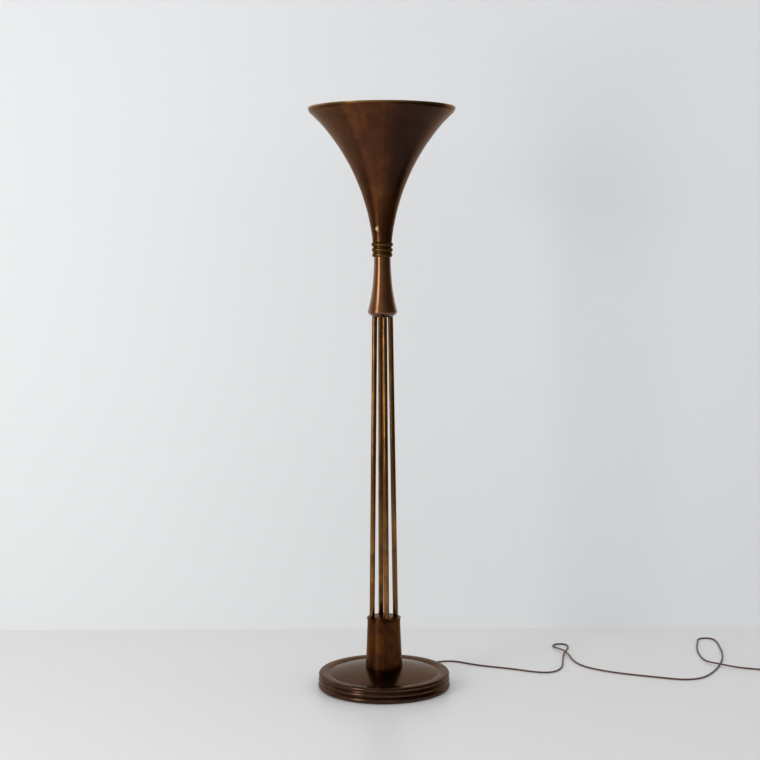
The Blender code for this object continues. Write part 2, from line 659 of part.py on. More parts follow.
def build_switch():
    """Push-button switch through the shade's neck: body and bush, ring nut, and the moving button."""
    matrix = switch_matrix()
    middle = (SWITCH_FRONT + SWITCH_BACK) / 2
    body = block(
        "switch_body",
        (SWITCH_SIDE, SWITCH_SIDE, SWITCH_FRONT - SWITCH_BACK),
        matrix @ Matrix.Translation((0, 0, middle)),
        BLACK_PLASTIC,
    )
    outwards = matrix.to_3x3() @ Vector((0, 0, 1))
    zero = matrix.translation
    bush = cylinder(
        "bush", zero + (SWITCH_FRONT - 3 * MM) * outwards, zero + 3 * MM * outwards, BUSH_RADIUS, None, 16, CUTTERS
    )
    bush.hide_render = True
    bush.display_type = "WIRE"
    join = body.modifiers.new("bush", "BOOLEAN")
    join.object = bush
    join.operation = "UNION"
    join.solver = "EXACT"
    cut(body, cutter("button_bore", zero - 9 * MM * outwards, zero + 8 * MM * outwards, BUTTON_BORE))
    nut = turned(
        "switch_ring_nut",
        (
            (4.5 * MM, RING_NUT_HIGH - 0.5 * MM),
            (5.3 * MM, RING_NUT_HIGH),
            (6.2 * MM, RING_NUT_HIGH - 0.6 * MM),
            (RING_NUT_RADIUS, 1.6 * MM),
            (RING_NUT_RADIUS, 0.35 * MM),
            (4.5 * MM, 0.35 * MM),
        ),
        GOLD_BRASS,
        FINE_STEPS,
        closed=True,
    )
    nut.matrix_world = matrix
    button = turned(
        "switch_button",
        (
            (0.0, BUTTON_OUT),
            (BUTTON_RADIUS * 0.55, BUTTON_OUT - 0.3 * MM),
            (BUTTON_RADIUS, BUTTON_OUT - 1.4 * MM),
            (BUTTON_RADIUS, BUTTON_IN),
            (0.0, BUTTON_IN),
        ),
        NICKEL,
        FINE_STEPS,
    )
    button.matrix_world = matrix


# ---- lampholder and lamp ------------------------------------------------------------------------
def build_lampholder():
    """Lampholder on the centre pipe, and the lamp in it."""
    turned(
        "lampholder_cap",
        (
            (5.4 * MM, HOLDER_CAP_HIGH),
            (HOLDER_RADIUS, HOLDER_CAP_HIGH),
            (HOLDER_RADIUS, HOLDER_CAP_HIGH - 8 * MM),
            (14 * MM, HOLDER_LOW),
            (5.4 * MM, HOLDER_LOW),
        ),
        BLACK_PLASTIC,
        closed=True,
    )
    ring("lampholder_shell", HOLDER_BORE, HOLDER_RADIUS, HOLDER_CAP_HIGH + GAP, HOLDER_HIGH, BLACK_PLASTIC)
    disc("lampholder_insert", HOLDER_BORE - GAP, HOLDER_CAP_HIGH + GAP, LAMP_CAP_LOW - GAP, PORCELAIN)
    turned(
        "lamp_screw_cap",
        (
            (0.0, LAMP_CAP_HIGH),
            (LAMP_CAP_RADIUS, LAMP_CAP_HIGH),
            (LAMP_CAP_RADIUS, LAMP_CAP_LOW + 6 * MM),
            (6 * MM, LAMP_CAP_LOW),
            (0.0, LAMP_CAP_LOW),
        ),
        NICKEL,
    )
    middle = LAMP_TOP - LAMP_RADIUS
    globe = [
        (LAMP_RADIUS * math.cos(math.radians(a)), middle + LAMP_RADIUS * math.sin(math.radians(a)))
        for a in (90, 65, 40, 15, -10, -32)
    ]
    globe[0] = (0.0, LAMP_TOP)
    neck = [(17.5 * MM, LAMP_CAP_HIGH + 22 * MM), (14 * MM, LAMP_CAP_HIGH + 10 * MM), (13 * MM, LAMP_CAP_HIGH + GAP)]
    turned("lamp_glass", [*globe, *neck], GLASS, wall=1.0 * MM)


# ---- leads, cord, coil and plug -----------------------------------------------------------------
def build_leads():
    """The inner lead from the gland up to the switch, and the short one on to the lampholder."""
    route = [
        polar(178.5 * MM, GLAND_AZIMUTH, LEAD_FLOOR),
        polar(150 * MM, GLAND_AZIMUTH, LEAD_FLOOR),
        polar(100 * MM, GLAND_AZIMUTH + 6, LEAD_FLOOR),
        polar(62 * MM, GLAND_AZIMUTH + 22, LEAD_FLOOR),
        Vector((LEAD_UP.x, LEAD_UP.y + 14 * MM, LEAD_FLOOR + 0.4 * MM)),
        Vector((LEAD_UP.x, LEAD_UP.y + 1.5 * MM, 20 * MM)),
        Vector((LEAD_UP.x, LEAD_UP.y, 40 * MM)),
        Vector((LEAD_UP.x, LEAD_UP.y, 80 * MM)),
        rod_point("back", 0.170),
        rod_point("back", 0.195),
        rod_point("back", 0.400),
        rod_point("back", 0.700),
        rod_point("back", 1.080),
        rod_point("back", 1.116),
        polar(20.5 * MM, 118, 1.150),
        polar(17.0 * MM, 150, 1.195),
        polar(15.0 * MM, 190, 1.245),
        polar(15.0 * MM, 220, 1.290),
        polar(15.0 * MM, 225, 1.316),
        polar(15.5 * MM, 228, 1.328),
        polar(19.0 * MM, 240, 1.3395),
    ]
    tube("inner_lead", smooth(route, 2), LEAD_RADIUS, RUBBER)
    upper = [polar(21.0 * MM, 246, 1.3640), polar(16.5 * MM, 246, 1.3685), polar(11.5 * MM, 246, 1.3718)]
    tube("lampholder_lead", upper, 1.5 * MM, RUBBER)


def build_cord():
    """Gland, cord along the floor, the stored coil with its tie, the tail and the plug."""
    gland = turned(
        "cord_gland",
        (
            (0.0, GLAND_END),
            (3.4 * MM, GLAND_END),
            (4.8 * MM, 199.5 * MM),
            (5.8 * MM, 199.0 * MM),
            (5.8 * MM, 196.2 * MM),
            (4.6 * MM, 196.0 * MM),
            (4.6 * MM, 183.0 * MM),
            (5.3 * MM, 182.8 * MM),
            (5.3 * MM, 179.0 * MM),
            (0.0, 179.0 * MM),
        ),
        RUBBER,
        12,
    )
    outwards = polar(1.0, GLAND_AZIMUTH, 0.0).to_track_quat("Z", "Y").to_matrix().to_4x4()
    gland.matrix_world = Matrix.Translation((0, 0, GLAND_HEIGHT)) @ outwards
    route = [polar(CORD_START, GLAND_AZIMUTH, GLAND_HEIGHT), *CORD_ROUTE]
    tube("mains_cord", smooth(route, SAMPLES_PER_SPAN), CORD_DIAMETER / 2, BRAID)
    centre = Vector((*COIL_CENTRE, 0.0))
    corner = 2 * MM
    coil = turned(
        "cord_coil",
        (
            (COIL_RADIUS - COIL_HALF_WIDTH + corner, COIL_LOW + COIL_HEIGHT),
            (COIL_RADIUS + COIL_HALF_WIDTH - corner, COIL_LOW + COIL_HEIGHT),
            (COIL_RADIUS + COIL_HALF_WIDTH, COIL_LOW + COIL_HEIGHT - corner),
            (COIL_RADIUS + COIL_HALF_WIDTH, COIL_LOW + corner),
            (COIL_RADIUS + COIL_HALF_WIDTH - corner, COIL_LOW),
            (COIL_RADIUS - COIL_HALF_WIDTH + corner, COIL_LOW),
            (COIL_RADIUS - COIL_HALF_WIDTH, COIL_LOW + corner),
            (COIL_RADIUS - COIL_HALF_WIDTH, COIL_LOW + COIL_HEIGHT - corner),
        ),
        BRAID,
        closed=True,
    )
    coil.location = centre
    build_tie(centre)
    build_plug(centre)


def build_tie(centre):
    """A strap round the coil's turns, on the side away from the lamp's cord."""
    middle = centre + polar(COIL_RADIUS, 200, COIL_LOW + COIL_HEIGHT / 2)
    matrix = Matrix.Translation(middle) @ Matrix.Rotation(math.radians(200), 4, "Z")
    inside = (2 * COIL_HALF_WIDTH + 1.8 * MM, 0.05, COIL_HEIGHT + 0.6 * MM)
    tie = block("coil_tie", (inside[0] + 1.4 * MM, 6 * MM, inside[2] + 1.4 * MM), matrix, RUBBER)
    hole = block("tie_hole", inside, matrix, None, collection=CUTTERS)
    hole.hide_render = True
    hole.display_type = "WIRE"
    cut(tie, hole)


def build_plug(centre):
    """The tail from the coil to the plug, the plug's body and its two pins."""
    tail_x = centre.x + COIL_RADIUS + COIL_HALF_WIDTH + CORD_DIAMETER / 2 + GAP
    plug_z = PLUG_THICK / 2 + 0.2 * MM
    tail = [
        (tail_x, centre.y + 12 * MM, CORD_REST + 1.0 * MM),
        (tail_x + 0.5 * MM, centre.y + 22 * MM, CORD_REST + 2.0 * MM),
        (tail_x + 1.0 * MM, centre.y + 32 * MM, plug_z - 0.8 * MM),
        (tail_x + 1.0 * MM, PLUG_REAR - GAP, plug_z),
    ]
    tube("cord_tail", tail, CORD_DIAMETER / 2, BRAID)
    front = PLUG_REAR + PLUG_LENGTH
    middle = Matrix.Translation((tail_x + 1.0 * MM, PLUG_REAR + PLUG_LENGTH / 2, plug_z))
    block("plug_body", (PLUG_WIDTH, PLUG_LENGTH, PLUG_THICK), middle, BLACK_PLASTIC, bevel=4 * MM)
    for name, side in (("plug_pin_left", -1), ("plug_pin_right", 1)):
        x = tail_x + 1.0 * MM + side * PIN_SPACING / 2
        cylinder(name, (x, front + GAP, plug_z), (x, front + PIN_LENGTH, plug_z), PIN_RADIUS, NICKEL, 12)


build_base()
build_stem()
build_head()
build_switch()
build_lampholder()
build_leads()
build_cord()
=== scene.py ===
"""The looks of a torchiere floor lamp: spun and turned brass under an old bronze patina.

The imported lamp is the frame. Sizes that it can give are read from its boxes; the others are fields of the
classes below, in millimetres. Each class makes one sub-assembly's pieces and dresses them.
"""

import logging
import math
from collections.abc import Mapping, Sequence
from dataclasses import dataclass, field
from enum import Enum
from functools import partial

import bmesh
import bpy
import numpy as np
from mathutils import Matrix, Vector


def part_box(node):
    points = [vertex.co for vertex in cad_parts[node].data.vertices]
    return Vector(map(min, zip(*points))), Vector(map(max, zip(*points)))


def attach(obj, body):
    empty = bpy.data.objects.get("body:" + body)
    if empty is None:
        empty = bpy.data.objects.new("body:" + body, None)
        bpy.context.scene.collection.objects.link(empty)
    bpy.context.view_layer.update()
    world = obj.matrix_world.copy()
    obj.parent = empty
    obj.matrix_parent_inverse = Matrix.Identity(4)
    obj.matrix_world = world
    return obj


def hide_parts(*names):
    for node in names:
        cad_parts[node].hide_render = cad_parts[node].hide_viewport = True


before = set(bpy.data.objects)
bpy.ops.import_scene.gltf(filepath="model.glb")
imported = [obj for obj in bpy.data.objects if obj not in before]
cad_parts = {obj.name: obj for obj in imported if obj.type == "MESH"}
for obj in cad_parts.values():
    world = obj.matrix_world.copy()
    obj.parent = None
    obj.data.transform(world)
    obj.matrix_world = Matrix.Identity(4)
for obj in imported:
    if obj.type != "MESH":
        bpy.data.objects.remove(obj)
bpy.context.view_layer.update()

MM = 0.001
LOG = logging.getLogger("lamp")

Line = list[tuple[float, float]]  # radius and height of points on a turned part's section, in millimetres
Socket = bpy.types.NodeSocket


class Body(Enum):
    """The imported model's bodies."""

    LAMP = "lamp"
    BUTTON = "button"


class Slot(Enum):
    """The record's material slots."""

    DARK_BRASS = "dark_brass"
    BASE_BRASS = "base_brass"
    GOLD_BRASS = "gold_brass"
    STEEL = "steel"
    CAST_IRON = "cast_iron"
    FELT = "felt"
    PORCELAIN = "porcelain"
    BAKELITE = "black_bakelite"
    NICKEL = "nickel"
    GLASS = "frosted_glass"
    BRAID = "braid"
    RUBBER = "rubber"


# ---- nodes and colours --------------------------------------------------------------------------
def linear(colour: str) -> tuple[float, float, float, float]:
    """Turns an sRGB colour into a linear one.

    Args:
        colour: The colour in hex, such as "#8a5a30".

    Returns:
        Its linear red, green and blue, and an alpha of one.
    """
    parts = [int(colour[i : i + 2], 16) / 255 for i in (1, 3, 5)]
    red, green, blue = (v / 12.92 if v <= 0.04045 else ((v + 0.055) / 1.055) ** 2.4 for v in parts)
    return red, green, blue, 1.0


def per_metre(size_mm: float) -> float:
    """The scale that gives a pattern features of this size."""
    return 1.0 / (size_mm * MM)


def add_node(
    tree: bpy.types.NodeTree, kind: str, sockets: Mapping[str | int, object] | None = None, **settings: object
) -> bpy.types.Node:
    """Adds a node with its settings, its input values and its links.

    Args:
        tree: The node tree it goes into.
        kind: The node's type name.
        sockets: A value, or an output to link from, for each input by name or number.
        settings: The node's own properties.

    Returns:
        The new node.
    """
    node = tree.nodes.new(kind)
    for name, value in settings.items():
        setattr(node, name, value)
    for key, value in (sockets or {}).items():
        if isinstance(value, Socket):
            tree.links.new(value, node.inputs[key])
        else:
            node.inputs[key].default_value = value
    return node


def new_material(name: str) -> tuple[bpy.types.Material, bpy.types.NodeTree, bpy.types.Node]:
    """Makes a material that holds only a Principled shader and its output.

    Args:
        name: The material's name.

    Returns:
        The material, its tree and the shader.
    """
    material = bpy.data.materials.new(name)
    material.use_nodes = True
    tree = material.node_tree
    tree.nodes.clear()
    shader = add_node(tree, "ShaderNodeBsdfPrincipled")
    add_node(tree, "ShaderNodeOutputMaterial", {"Surface": shader.outputs[0]})
    return material, tree, shader


# ---- finishes -----------------------------------------------------------------------------------
@dataclass(frozen=True)
class PatinatedBrass:
    """Brass spun or turned bright, browned with a liver-of-sulphur patina, then lacquered long ago.

    It gives the eye a warm dark metal, clouded where the patina took unevenly, with polish runs down its
    height, fine tool lines round it, and small bright flecks where the brown has worn through.
    """

    name: str
    deep: str
    tone: str
    fleck: str
    rough_low: float = 0.30
    rough_high: float = 0.42
    cloud_mm: float = 70.0
    run_mm: float = 7.0
    run_stretch: float = 0.05
    fleck_mm: float = 2.2
    fleck_share: float = 0.25
    tool_line_mm: float = 0.9
    # The darkest brown, for the streaks and for the painted shade and dark reflection.
    dark: str = "#241008"
    streaks: float = 4.0  # how many dark streaks stand round it, roughly
    streak_share: float = 0.0
    painted_dark_side: float = 0.0  # strength of painted shade and dark reflection away from the window
    painted_dark_azimuth: float = -55.0
    painted_dark_rise_mm: tuple[float, float] = (1380.0, 1480.0)  # heights between which it sets in
    under: float = 0.0  # painted shade on the faces that look down
    lacquer: float = 0.15
    lacquer_rough: float = 0.18
    edge: str = "#ffffff"
    worn_band_mm: tuple[float, float] | None = None  # heights where a rubbed rim starts and is fully bare
    worn: str = "#a8834c"
    worn_polish: float = 0.16  # how much smoother the bare band is

    def build(self) -> bpy.types.Material:
        """Makes the material."""
        material, tree, shader = new_material(self.name)
        add = partial(add_node, tree)
        place = add("ShaderNodeTexCoord").outputs["Object"]
        cloud = add(
            "ShaderNodeTexNoise",
            {"Vector": place, "Scale": per_metre(self.cloud_mm), "Detail": 5.0, "Roughness": 0.62},
        ).outputs[0]
        stretched = add(
            "ShaderNodeMapping", {"Vector": place, "Scale": (1.0, 1.0, self.run_stretch)}
        ).outputs[0]
        runs = add(
            "ShaderNodeTexNoise",
            {"Vector": stretched, "Scale": per_metre(self.run_mm), "Detail": 3.0, "Roughness": 0.55},
        ).outputs[0]
        speck = add(
            "ShaderNodeTexNoise",
            {"Vector": place, "Scale": per_metre(self.fleck_mm), "Detail": 2.0, "Roughness": 0.5},
        ).outputs[0]
        took = add("ShaderNodeMapRange", {"Value": cloud, "From Min": 0.36, "From Max": 0.66}).outputs[0]
        brown = add(
            "ShaderNodeMix", {0: took, 6: linear(self.deep), 7: linear(self.tone)}, data_type="RGBA"
        ).outputs[2]
        ran = add(
            "ShaderNodeMapRange", {"Value": runs, "From Min": 0.38, "From Max": 0.62, "To Max": 0.55}
        ).outputs[0]
        streaked = add(
            "ShaderNodeMix", {0: ran, 6: brown, 7: linear(self.deep)}, data_type="RGBA"
        ).outputs[2]
        flat = add("ShaderNodeVectorMath", {0: place, 1: (1.0, 1.0, 0.0)}, operation="MULTIPLY").outputs[0]
        way = add("ShaderNodeVectorMath", {0: flat}, operation="NORMALIZE").outputs[0]
        streaks = add(
            "ShaderNodeTexNoise", {"Vector": way, "Scale": self.streaks, "Detail": 4.0, "Roughness": 0.6}
        ).outputs[0]
        streak = add(
            "ShaderNodeMapRange",
            {"Value": streaks, "From Min": 0.42, "From Max": 0.70, "To Max": self.streak_share},
            interpolation_type="SMOOTHSTEP",
        ).outputs[0]
        # Painted shade and dark reflection: the side away from the window is darkened, higher up.
        azimuth = math.radians(self.painted_dark_azimuth)
        facing = add(
            "ShaderNodeVectorMath",
            {0: way, 1: (math.cos(azimuth), math.sin(azimuth), 0.0)},
            operation="DOT_PRODUCT",
        ).outputs["Value"]
        painted_dark = add(
            "ShaderNodeMapRange",
            {"Value": facing, "From Min": 0.80, "From Max": 0.985, "To Max": self.painted_dark_side},
            interpolation_type="SMOOTHSTEP",
        ).outputs[0]
        height = add("ShaderNodeSeparateXYZ", {"Vector": place}).outputs["Z"]
        start, full = self.painted_dark_rise_mm
        risen = add(
            "ShaderNodeMapRange", {"Value": height, "From Min": start * MM, "From Max": full * MM}
        ).outputs[0]
        painted_dark_high = add("ShaderNodeMath", {0: painted_dark, 1: risen}, operation="MULTIPLY").outputs[0]
        # Painted shade: faces that look down are darkened towards the dark brown.
        normal = add("ShaderNodeNewGeometry").outputs["True Normal"]
        tilt = add("ShaderNodeSeparateXYZ", {"Vector": normal}).outputs["Z"]
        below = add(
            "ShaderNodeMapRange", {"Value": tilt, "From Min": -0.25, "From Max": -0.7, "To Max": self.under}
        ).outputs[0]
        # Streaks are patina; the painted dark side and painted underside shade darken to the same brown.
        either = add("ShaderNodeMath", {0: streak, 1: painted_dark_high}, operation="MAXIMUM").outputs[0]
        darkened = add("ShaderNodeMath", {0: either, 1: below}, operation="MAXIMUM").outputs[0]
        streaked = add(
            "ShaderNodeMix", {0: darkened, 6: streaked, 7: linear(self.dark)}, data_type="RGBA"
        ).outputs[2]
        rubbed = add(
            "ShaderNodeMapRange",
            {"Value": speck, "From Min": 0.56, "From Max": 0.76, "To Max": self.fleck_share},
        ).outputs[0]
        colour = add(
            "ShaderNodeMix", {0: rubbed, 6: streaked, 7: linear(self.fleck)}, data_type="RGBA"
        ).outputs[2]
        rough = add(
            "ShaderNodeMapRange",
            {
                "Value": cloud,
                "From Min": 0.3,
                "From Max": 0.7,
                "To Min": self.rough_high,
                "To Max": self.rough_low,
            },
        ).outputs[0]
        if self.worn_band_mm is not None:
            start, full = self.worn_band_mm
            bare = add(
                "ShaderNodeMapRange", {"Value": height, "From Min": start * MM, "From Max": full * MM}
            ).outputs[0]
            rough = add(
                "ShaderNodeMath", {0: bare, 1: -self.worn_polish, 2: rough}, operation="MULTIPLY_ADD"
            ).outputs[0]
            colour = add(
                "ShaderNodeMix", {0: bare, 6: colour, 7: linear(self.worn)}, data_type="RGBA"
            ).outputs[2]
        tree.links.new(colour, shader.inputs["Base Color"])
        tree.links.new(rough, shader.inputs["Roughness"])
        lines = add(
            "ShaderNodeTexNoise",
            {"W": height, "Scale": per_metre(self.tool_line_mm), "Detail": 2.0},
            noise_dimensions="1D",
        ).outputs[0]
        relief = add("ShaderNodeMath", {0: lines, 1: speck}, operation="ADD").outputs[0]
        bump = add("ShaderNodeBump", {"Height": relief, "Strength": 0.35, "Distance": 0.03 * MM}).outputs[0]
        tree.links.new(bump, shader.inputs["Normal"])
        shader.inputs["Metallic"].default_value = 1.0
        shader.inputs["Specular Tint"].default_value = linear(self.edge)
        shader.inputs["Coat Weight"].default_value = self.lacquer
        shader.inputs["Coat Roughness"].default_value = self.lacquer_rough
        return material


@dataclass(frozen=True)
class PlainMetal:
    """Steel or nickel with a dull plated skin.

    It gives the eye a cool grey metal with faint clouding, drag marks from tumbling and a few dark pits.
    """

    name: str
    colour: str
    stain: str
    roughness: float
    cloud_mm: float = 14.0
    pit_mm: float = 0.8
    metallic: float = 1.0
    relief_mm: float = 0.03

    def build(self) -> bpy.types.Material:
        """Makes the material."""
        material, tree, shader = new_material(self.name)
        add = partial(add_node, tree)
        place = add("ShaderNodeTexCoord").outputs["Object"]
        cloud = add(
            "ShaderNodeTexNoise", {"Vector": place, "Scale": per_metre(self.cloud_mm), "Detail": 4.0}
        ).outputs[0]
        pits = add(
            "ShaderNodeTexNoise", {"Vector": place, "Scale": per_metre(self.pit_mm), "Detail": 2.0}
        ).outputs[0]
        stained = add("ShaderNodeMapRange", {"Value": cloud, "From Min": 0.45, "From Max": 0.75}).outputs[0]
        colour = add(
            "ShaderNodeMix", {0: stained, 6: linear(self.colour), 7: linear(self.stain)}, data_type="RGBA"
        ).outputs[2]
        rough = add(
            "ShaderNodeMapRange",
            {"Value": cloud, "To Min": self.roughness * 0.8, "To Max": self.roughness * 1.3},
        ).outputs[0]
        bump = add(
            "ShaderNodeBump", {"Height": pits, "Strength": 0.5, "Distance": self.relief_mm * MM}
        ).outputs[0]
        tree.links.new(colour, shader.inputs["Base Color"])
        tree.links.new(rough, shader.inputs["Roughness"])
        tree.links.new(bump, shader.inputs["Normal"])
        shader.inputs["Metallic"].default_value = self.metallic
        return material


@dataclass(frozen=True)
class Moulded:
    """Bakelite, rubber, porcelain, glass or wool felt: a coloured body with no metal in it.

    It gives the eye a soft swirl of two close colours, a skin as glossy as the stuff allows, and its grain.
    """

    name: str
    colour: str
    swirl: str
    roughness: float
    swirl_mm: float = 12.0
    grain_mm: float = 0.6
    relief_mm: float = 0.05
    fuzz: float = 0.0
    glaze: float = 0.0

    def build(self) -> bpy.types.Material:
        """Makes the material."""
        material, tree, shader = new_material(self.name)
        add = partial(add_node, tree)
        place = add("ShaderNodeTexCoord").outputs["Object"]
        swirl = add(
            "ShaderNodeTexNoise",
            {"Vector": place, "Scale": per_metre(self.swirl_mm), "Detail": 4.0, "Distortion": 1.2},
        ).outputs[0]
        grain = add(
            "ShaderNodeTexNoise", {"Vector": place, "Scale": per_metre(self.grain_mm), "Detail": 3.0}
        ).outputs[0]
        colour = add(
            "ShaderNodeMix", {0: swirl, 6: linear(self.colour), 7: linear(self.swirl)}, data_type="RGBA"
        ).outputs[2]
        rough = add(
            "ShaderNodeMapRange",
            {"Value": grain, "To Min": self.roughness * 0.85, "To Max": min(1.0, self.roughness * 1.2)},
        ).outputs[0]
        bump = add(
            "ShaderNodeBump", {"Height": grain, "Strength": 0.6, "Distance": self.relief_mm * MM}
        ).outputs[0]
        tree.links.new(colour, shader.inputs["Base Color"])
        tree.links.new(rough, shader.inputs["Roughness"])
        tree.links.new(bump, shader.inputs["Normal"])
        shader.inputs["Sheen Weight"].default_value = self.fuzz
        shader.inputs["Coat Weight"].default_value = self.glaze
        return material


@dataclass(frozen=True)
class Braid:
    """Dark brown rayon braid over the mains cord.

    It gives the eye diagonal crossed yarns with a dull sheen, some of them paler, each a little proud. The
    piece's UV map holds turns round the cord in U and metres along it in V.
    """

    name: str = "brown_rayon_braid"
    yarn: str = "#5a2e16"
    pale_yarn: str = "#7c4c2a"
    gap: str = "#1c100a"
    carriers: int = 8
    lay_mm: float = 7.0  # length in which one yarn goes once round; the real lay is finer than would show
    relief_mm: float = 0.22

    def build(self) -> bpy.types.Material:
        """Makes the material."""
        material, tree, shader = new_material(self.name)
        add = partial(add_node, tree)
        place = add("ShaderNodeUVMap", uv_map="UVMap").outputs[0]
        around, along = add("ShaderNodeSeparateXYZ", {"Vector": place}).outputs[:2]
        turns = add(
            "ShaderNodeMath", {0: around, 1: self.carriers * 2 * math.pi}, operation="MULTIPLY"
        ).outputs[0]
        lay = add(
            "ShaderNodeMath",
            {0: along, 1: per_metre(self.lay_mm) * self.carriers * 2 * math.pi / 2},
            operation="MULTIPLY",
        ).outputs[0]
        ways = []
        for operation in ("ADD", "SUBTRACT"):
            slant = add("ShaderNodeMath", {0: turns, 1: lay}, operation=operation).outputs[0]
            ways.append(add("ShaderNodeMath", {0: slant}, operation="SINE").outputs[0])
        proud = add("ShaderNodeMath", {0: ways[0], 1: ways[1]}, operation="MAXIMUM").outputs[0]
        shown = add("ShaderNodeMapRange", {"Value": proud, "From Min": -0.6, "From Max": 0.7}).outputs[0]
        mixed = add(
            "ShaderNodeMapRange", {"Value": ways[0], "From Min": 0.2, "From Max": 0.9, "To Max": 0.45}
        ).outputs[0]
        yarns = add(
            "ShaderNodeMix", {0: mixed, 6: linear(self.yarn), 7: linear(self.pale_yarn)}, data_type="RGBA"
        ).outputs[2]
        colour = add(
            "ShaderNodeMix", {0: shown, 6: linear(self.gap), 7: yarns}, data_type="RGBA"
        ).outputs[2]
        bump = add(
            "ShaderNodeBump", {"Height": shown, "Strength": 0.8, "Distance": self.relief_mm * MM}
        ).outputs[0]
        tree.links.new(colour, shader.inputs["Base Color"])
        tree.links.new(bump, shader.inputs["Normal"])
        shader.inputs["Roughness"].default_value = 0.72
        shader.inputs["Sheen Weight"].default_value = 0.25
        return material


class Finishes:
    """Every material on the lamp, each made once."""

    def __init__(self) -> None:
        """Makes the materials."""
        self.shade = PatinatedBrass(
            "bronzed_spun_brass",
            deep="#4a2611",
            tone="#70421f",
            fleck="#7e4e28",
            rough_low=0.27,
            rough_high=0.36,
            cloud_mm=120.0,
            run_mm=22.0,
            run_stretch=0.12,
            fleck_share=0.15,
            lacquer=0.2,
            edge="#e0cdbd",
            streak_share=0.5,
            # painted shade and dark reflection on the side away from the window
            painted_dark_side=0.85,
            worn_band_mm=(1693.0, 1700.0),
            worn="#b08f54",
        ).build()
        self.cup = PatinatedBrass(
            "bronzed_turned_brass",
            deep="#3e1c08",
            tone="#6e3f12",
            fleck="#7a4c22",
            rough_low=0.22,
            rough_high=0.30,
            cloud_mm=70.0,
            run_mm=20.0,
            run_stretch=0.3,
            fleck_share=0.08,
            lacquer=0.12,
            edge="#d8c6b6",
            streak_share=0.4,
            # painted shade on the faces that look down
            under=0.5,
        ).build()
        self.gold = PatinatedBrass(
            "aged_turned_brass",
            deep="#76451e",
            tone="#946230",
            fleck="#a27a44",
            rough_low=0.24,
            rough_high=0.32,
            cloud_mm=60.0,
            run_mm=9.0,
            run_stretch=0.08,
            fleck_share=0.12,
            lacquer=1.0,
            lacquer_rough=0.13,
            edge="#d8b898",
            dark="#3a1c0a",
            streak_share=0.3,
            # painted shade on the faces that look down
            under=0.9,
        ).build()
        self.collar = PatinatedBrass(
            "olive_turned_brass",
            deep="#543a16",
            tone="#765426",
            fleck="#96723a",
            rough_low=0.32,
            rough_high=0.42,
            cloud_mm=30.0,
            fleck_share=0.15,
            lacquer=0.15,
            lacquer_rough=0.25,
            edge="#c8ac84",
            dark="#33200a",
            streak_share=0.3,
        ).build()
        self.rods = PatinatedBrass(
            "aged_drawn_brass_tube",
            deep="#5a380c",
            tone="#986624",
            fleck="#b08a50",
            rough_low=0.16,
            rough_high=0.26,
            cloud_mm=55.0,
            run_mm=4.0,
            run_stretch=0.02,
            fleck_share=0.25,
            lacquer=0.45,
            lacquer_rough=0.12,
            edge="#d0b090",
        ).build()
        self.base = PatinatedBrass(
            "lacquered_base_brass",
            deep="#3e2616",
            tone="#5f402b",
            fleck="#7c5636",
            rough_low=0.20,
            rough_high=0.28,
            cloud_mm=90.0,
            run_mm=40.0,
            run_stretch=1.0,
            fleck_share=0.08,
            lacquer=0.3,
            lacquer_rough=0.16,
            edge="#ccbcb0",
            # painted shade on the faces that look down
            under=0.6,
        ).build()
        self.bright = PatinatedBrass(
            "polished_brass",
            deep="#b08a58",
            tone="#cbb084",
            fleck="#ddc8a0",
            rough_low=0.12,
            rough_high=0.2,
            cloud_mm=20.0,
        ).build()
        self.steel = PlainMetal("zinc_plated_steel", "#9a9a97", "#8e8c87", 0.38).build()
        self.nickel = PlainMetal("nickel_plated_brass", "#cfcac0", "#a59c8c", 0.22, pit_mm=0.5).build()
        self.iron = PlainMetal(
            "black_painted_cast_iron", "#1c1c1c", "#2d2a28", 0.6, pit_mm=1.6, metallic=0.0, relief_mm=0.4
        ).build()
        self.felt = Moulded(
            "green_wool_felt",
            "#2f4430",
            "#3c5540",
            0.95,
            swirl_mm=6.0,
            grain_mm=0.5,
            relief_mm=0.4,
            fuzz=0.5,
        ).build()
        self.porcelain = Moulded(
            "glazed_porcelain", "#e8e4d8", "#ded8c8", 0.2, relief_mm=0.02, glaze=0.6
        ).build()
        self.bakelite = Moulded("black_bakelite", "#17120f", "#241b16", 0.32, glaze=0.2).build()
        self.rubber = Moulded(
            "black_rubber", "#1b1a19", "#262423", 0.6, grain_mm=0.4, relief_mm=0.06
        ).build()
        self.glass = Moulded(
            "pearl_lamp_glass", "#efeee8", "#e4e2da", 0.3, swirl_mm=30.0, relief_mm=0.01, glaze=0.5
        ).build()
        self.braid = Braid().build()


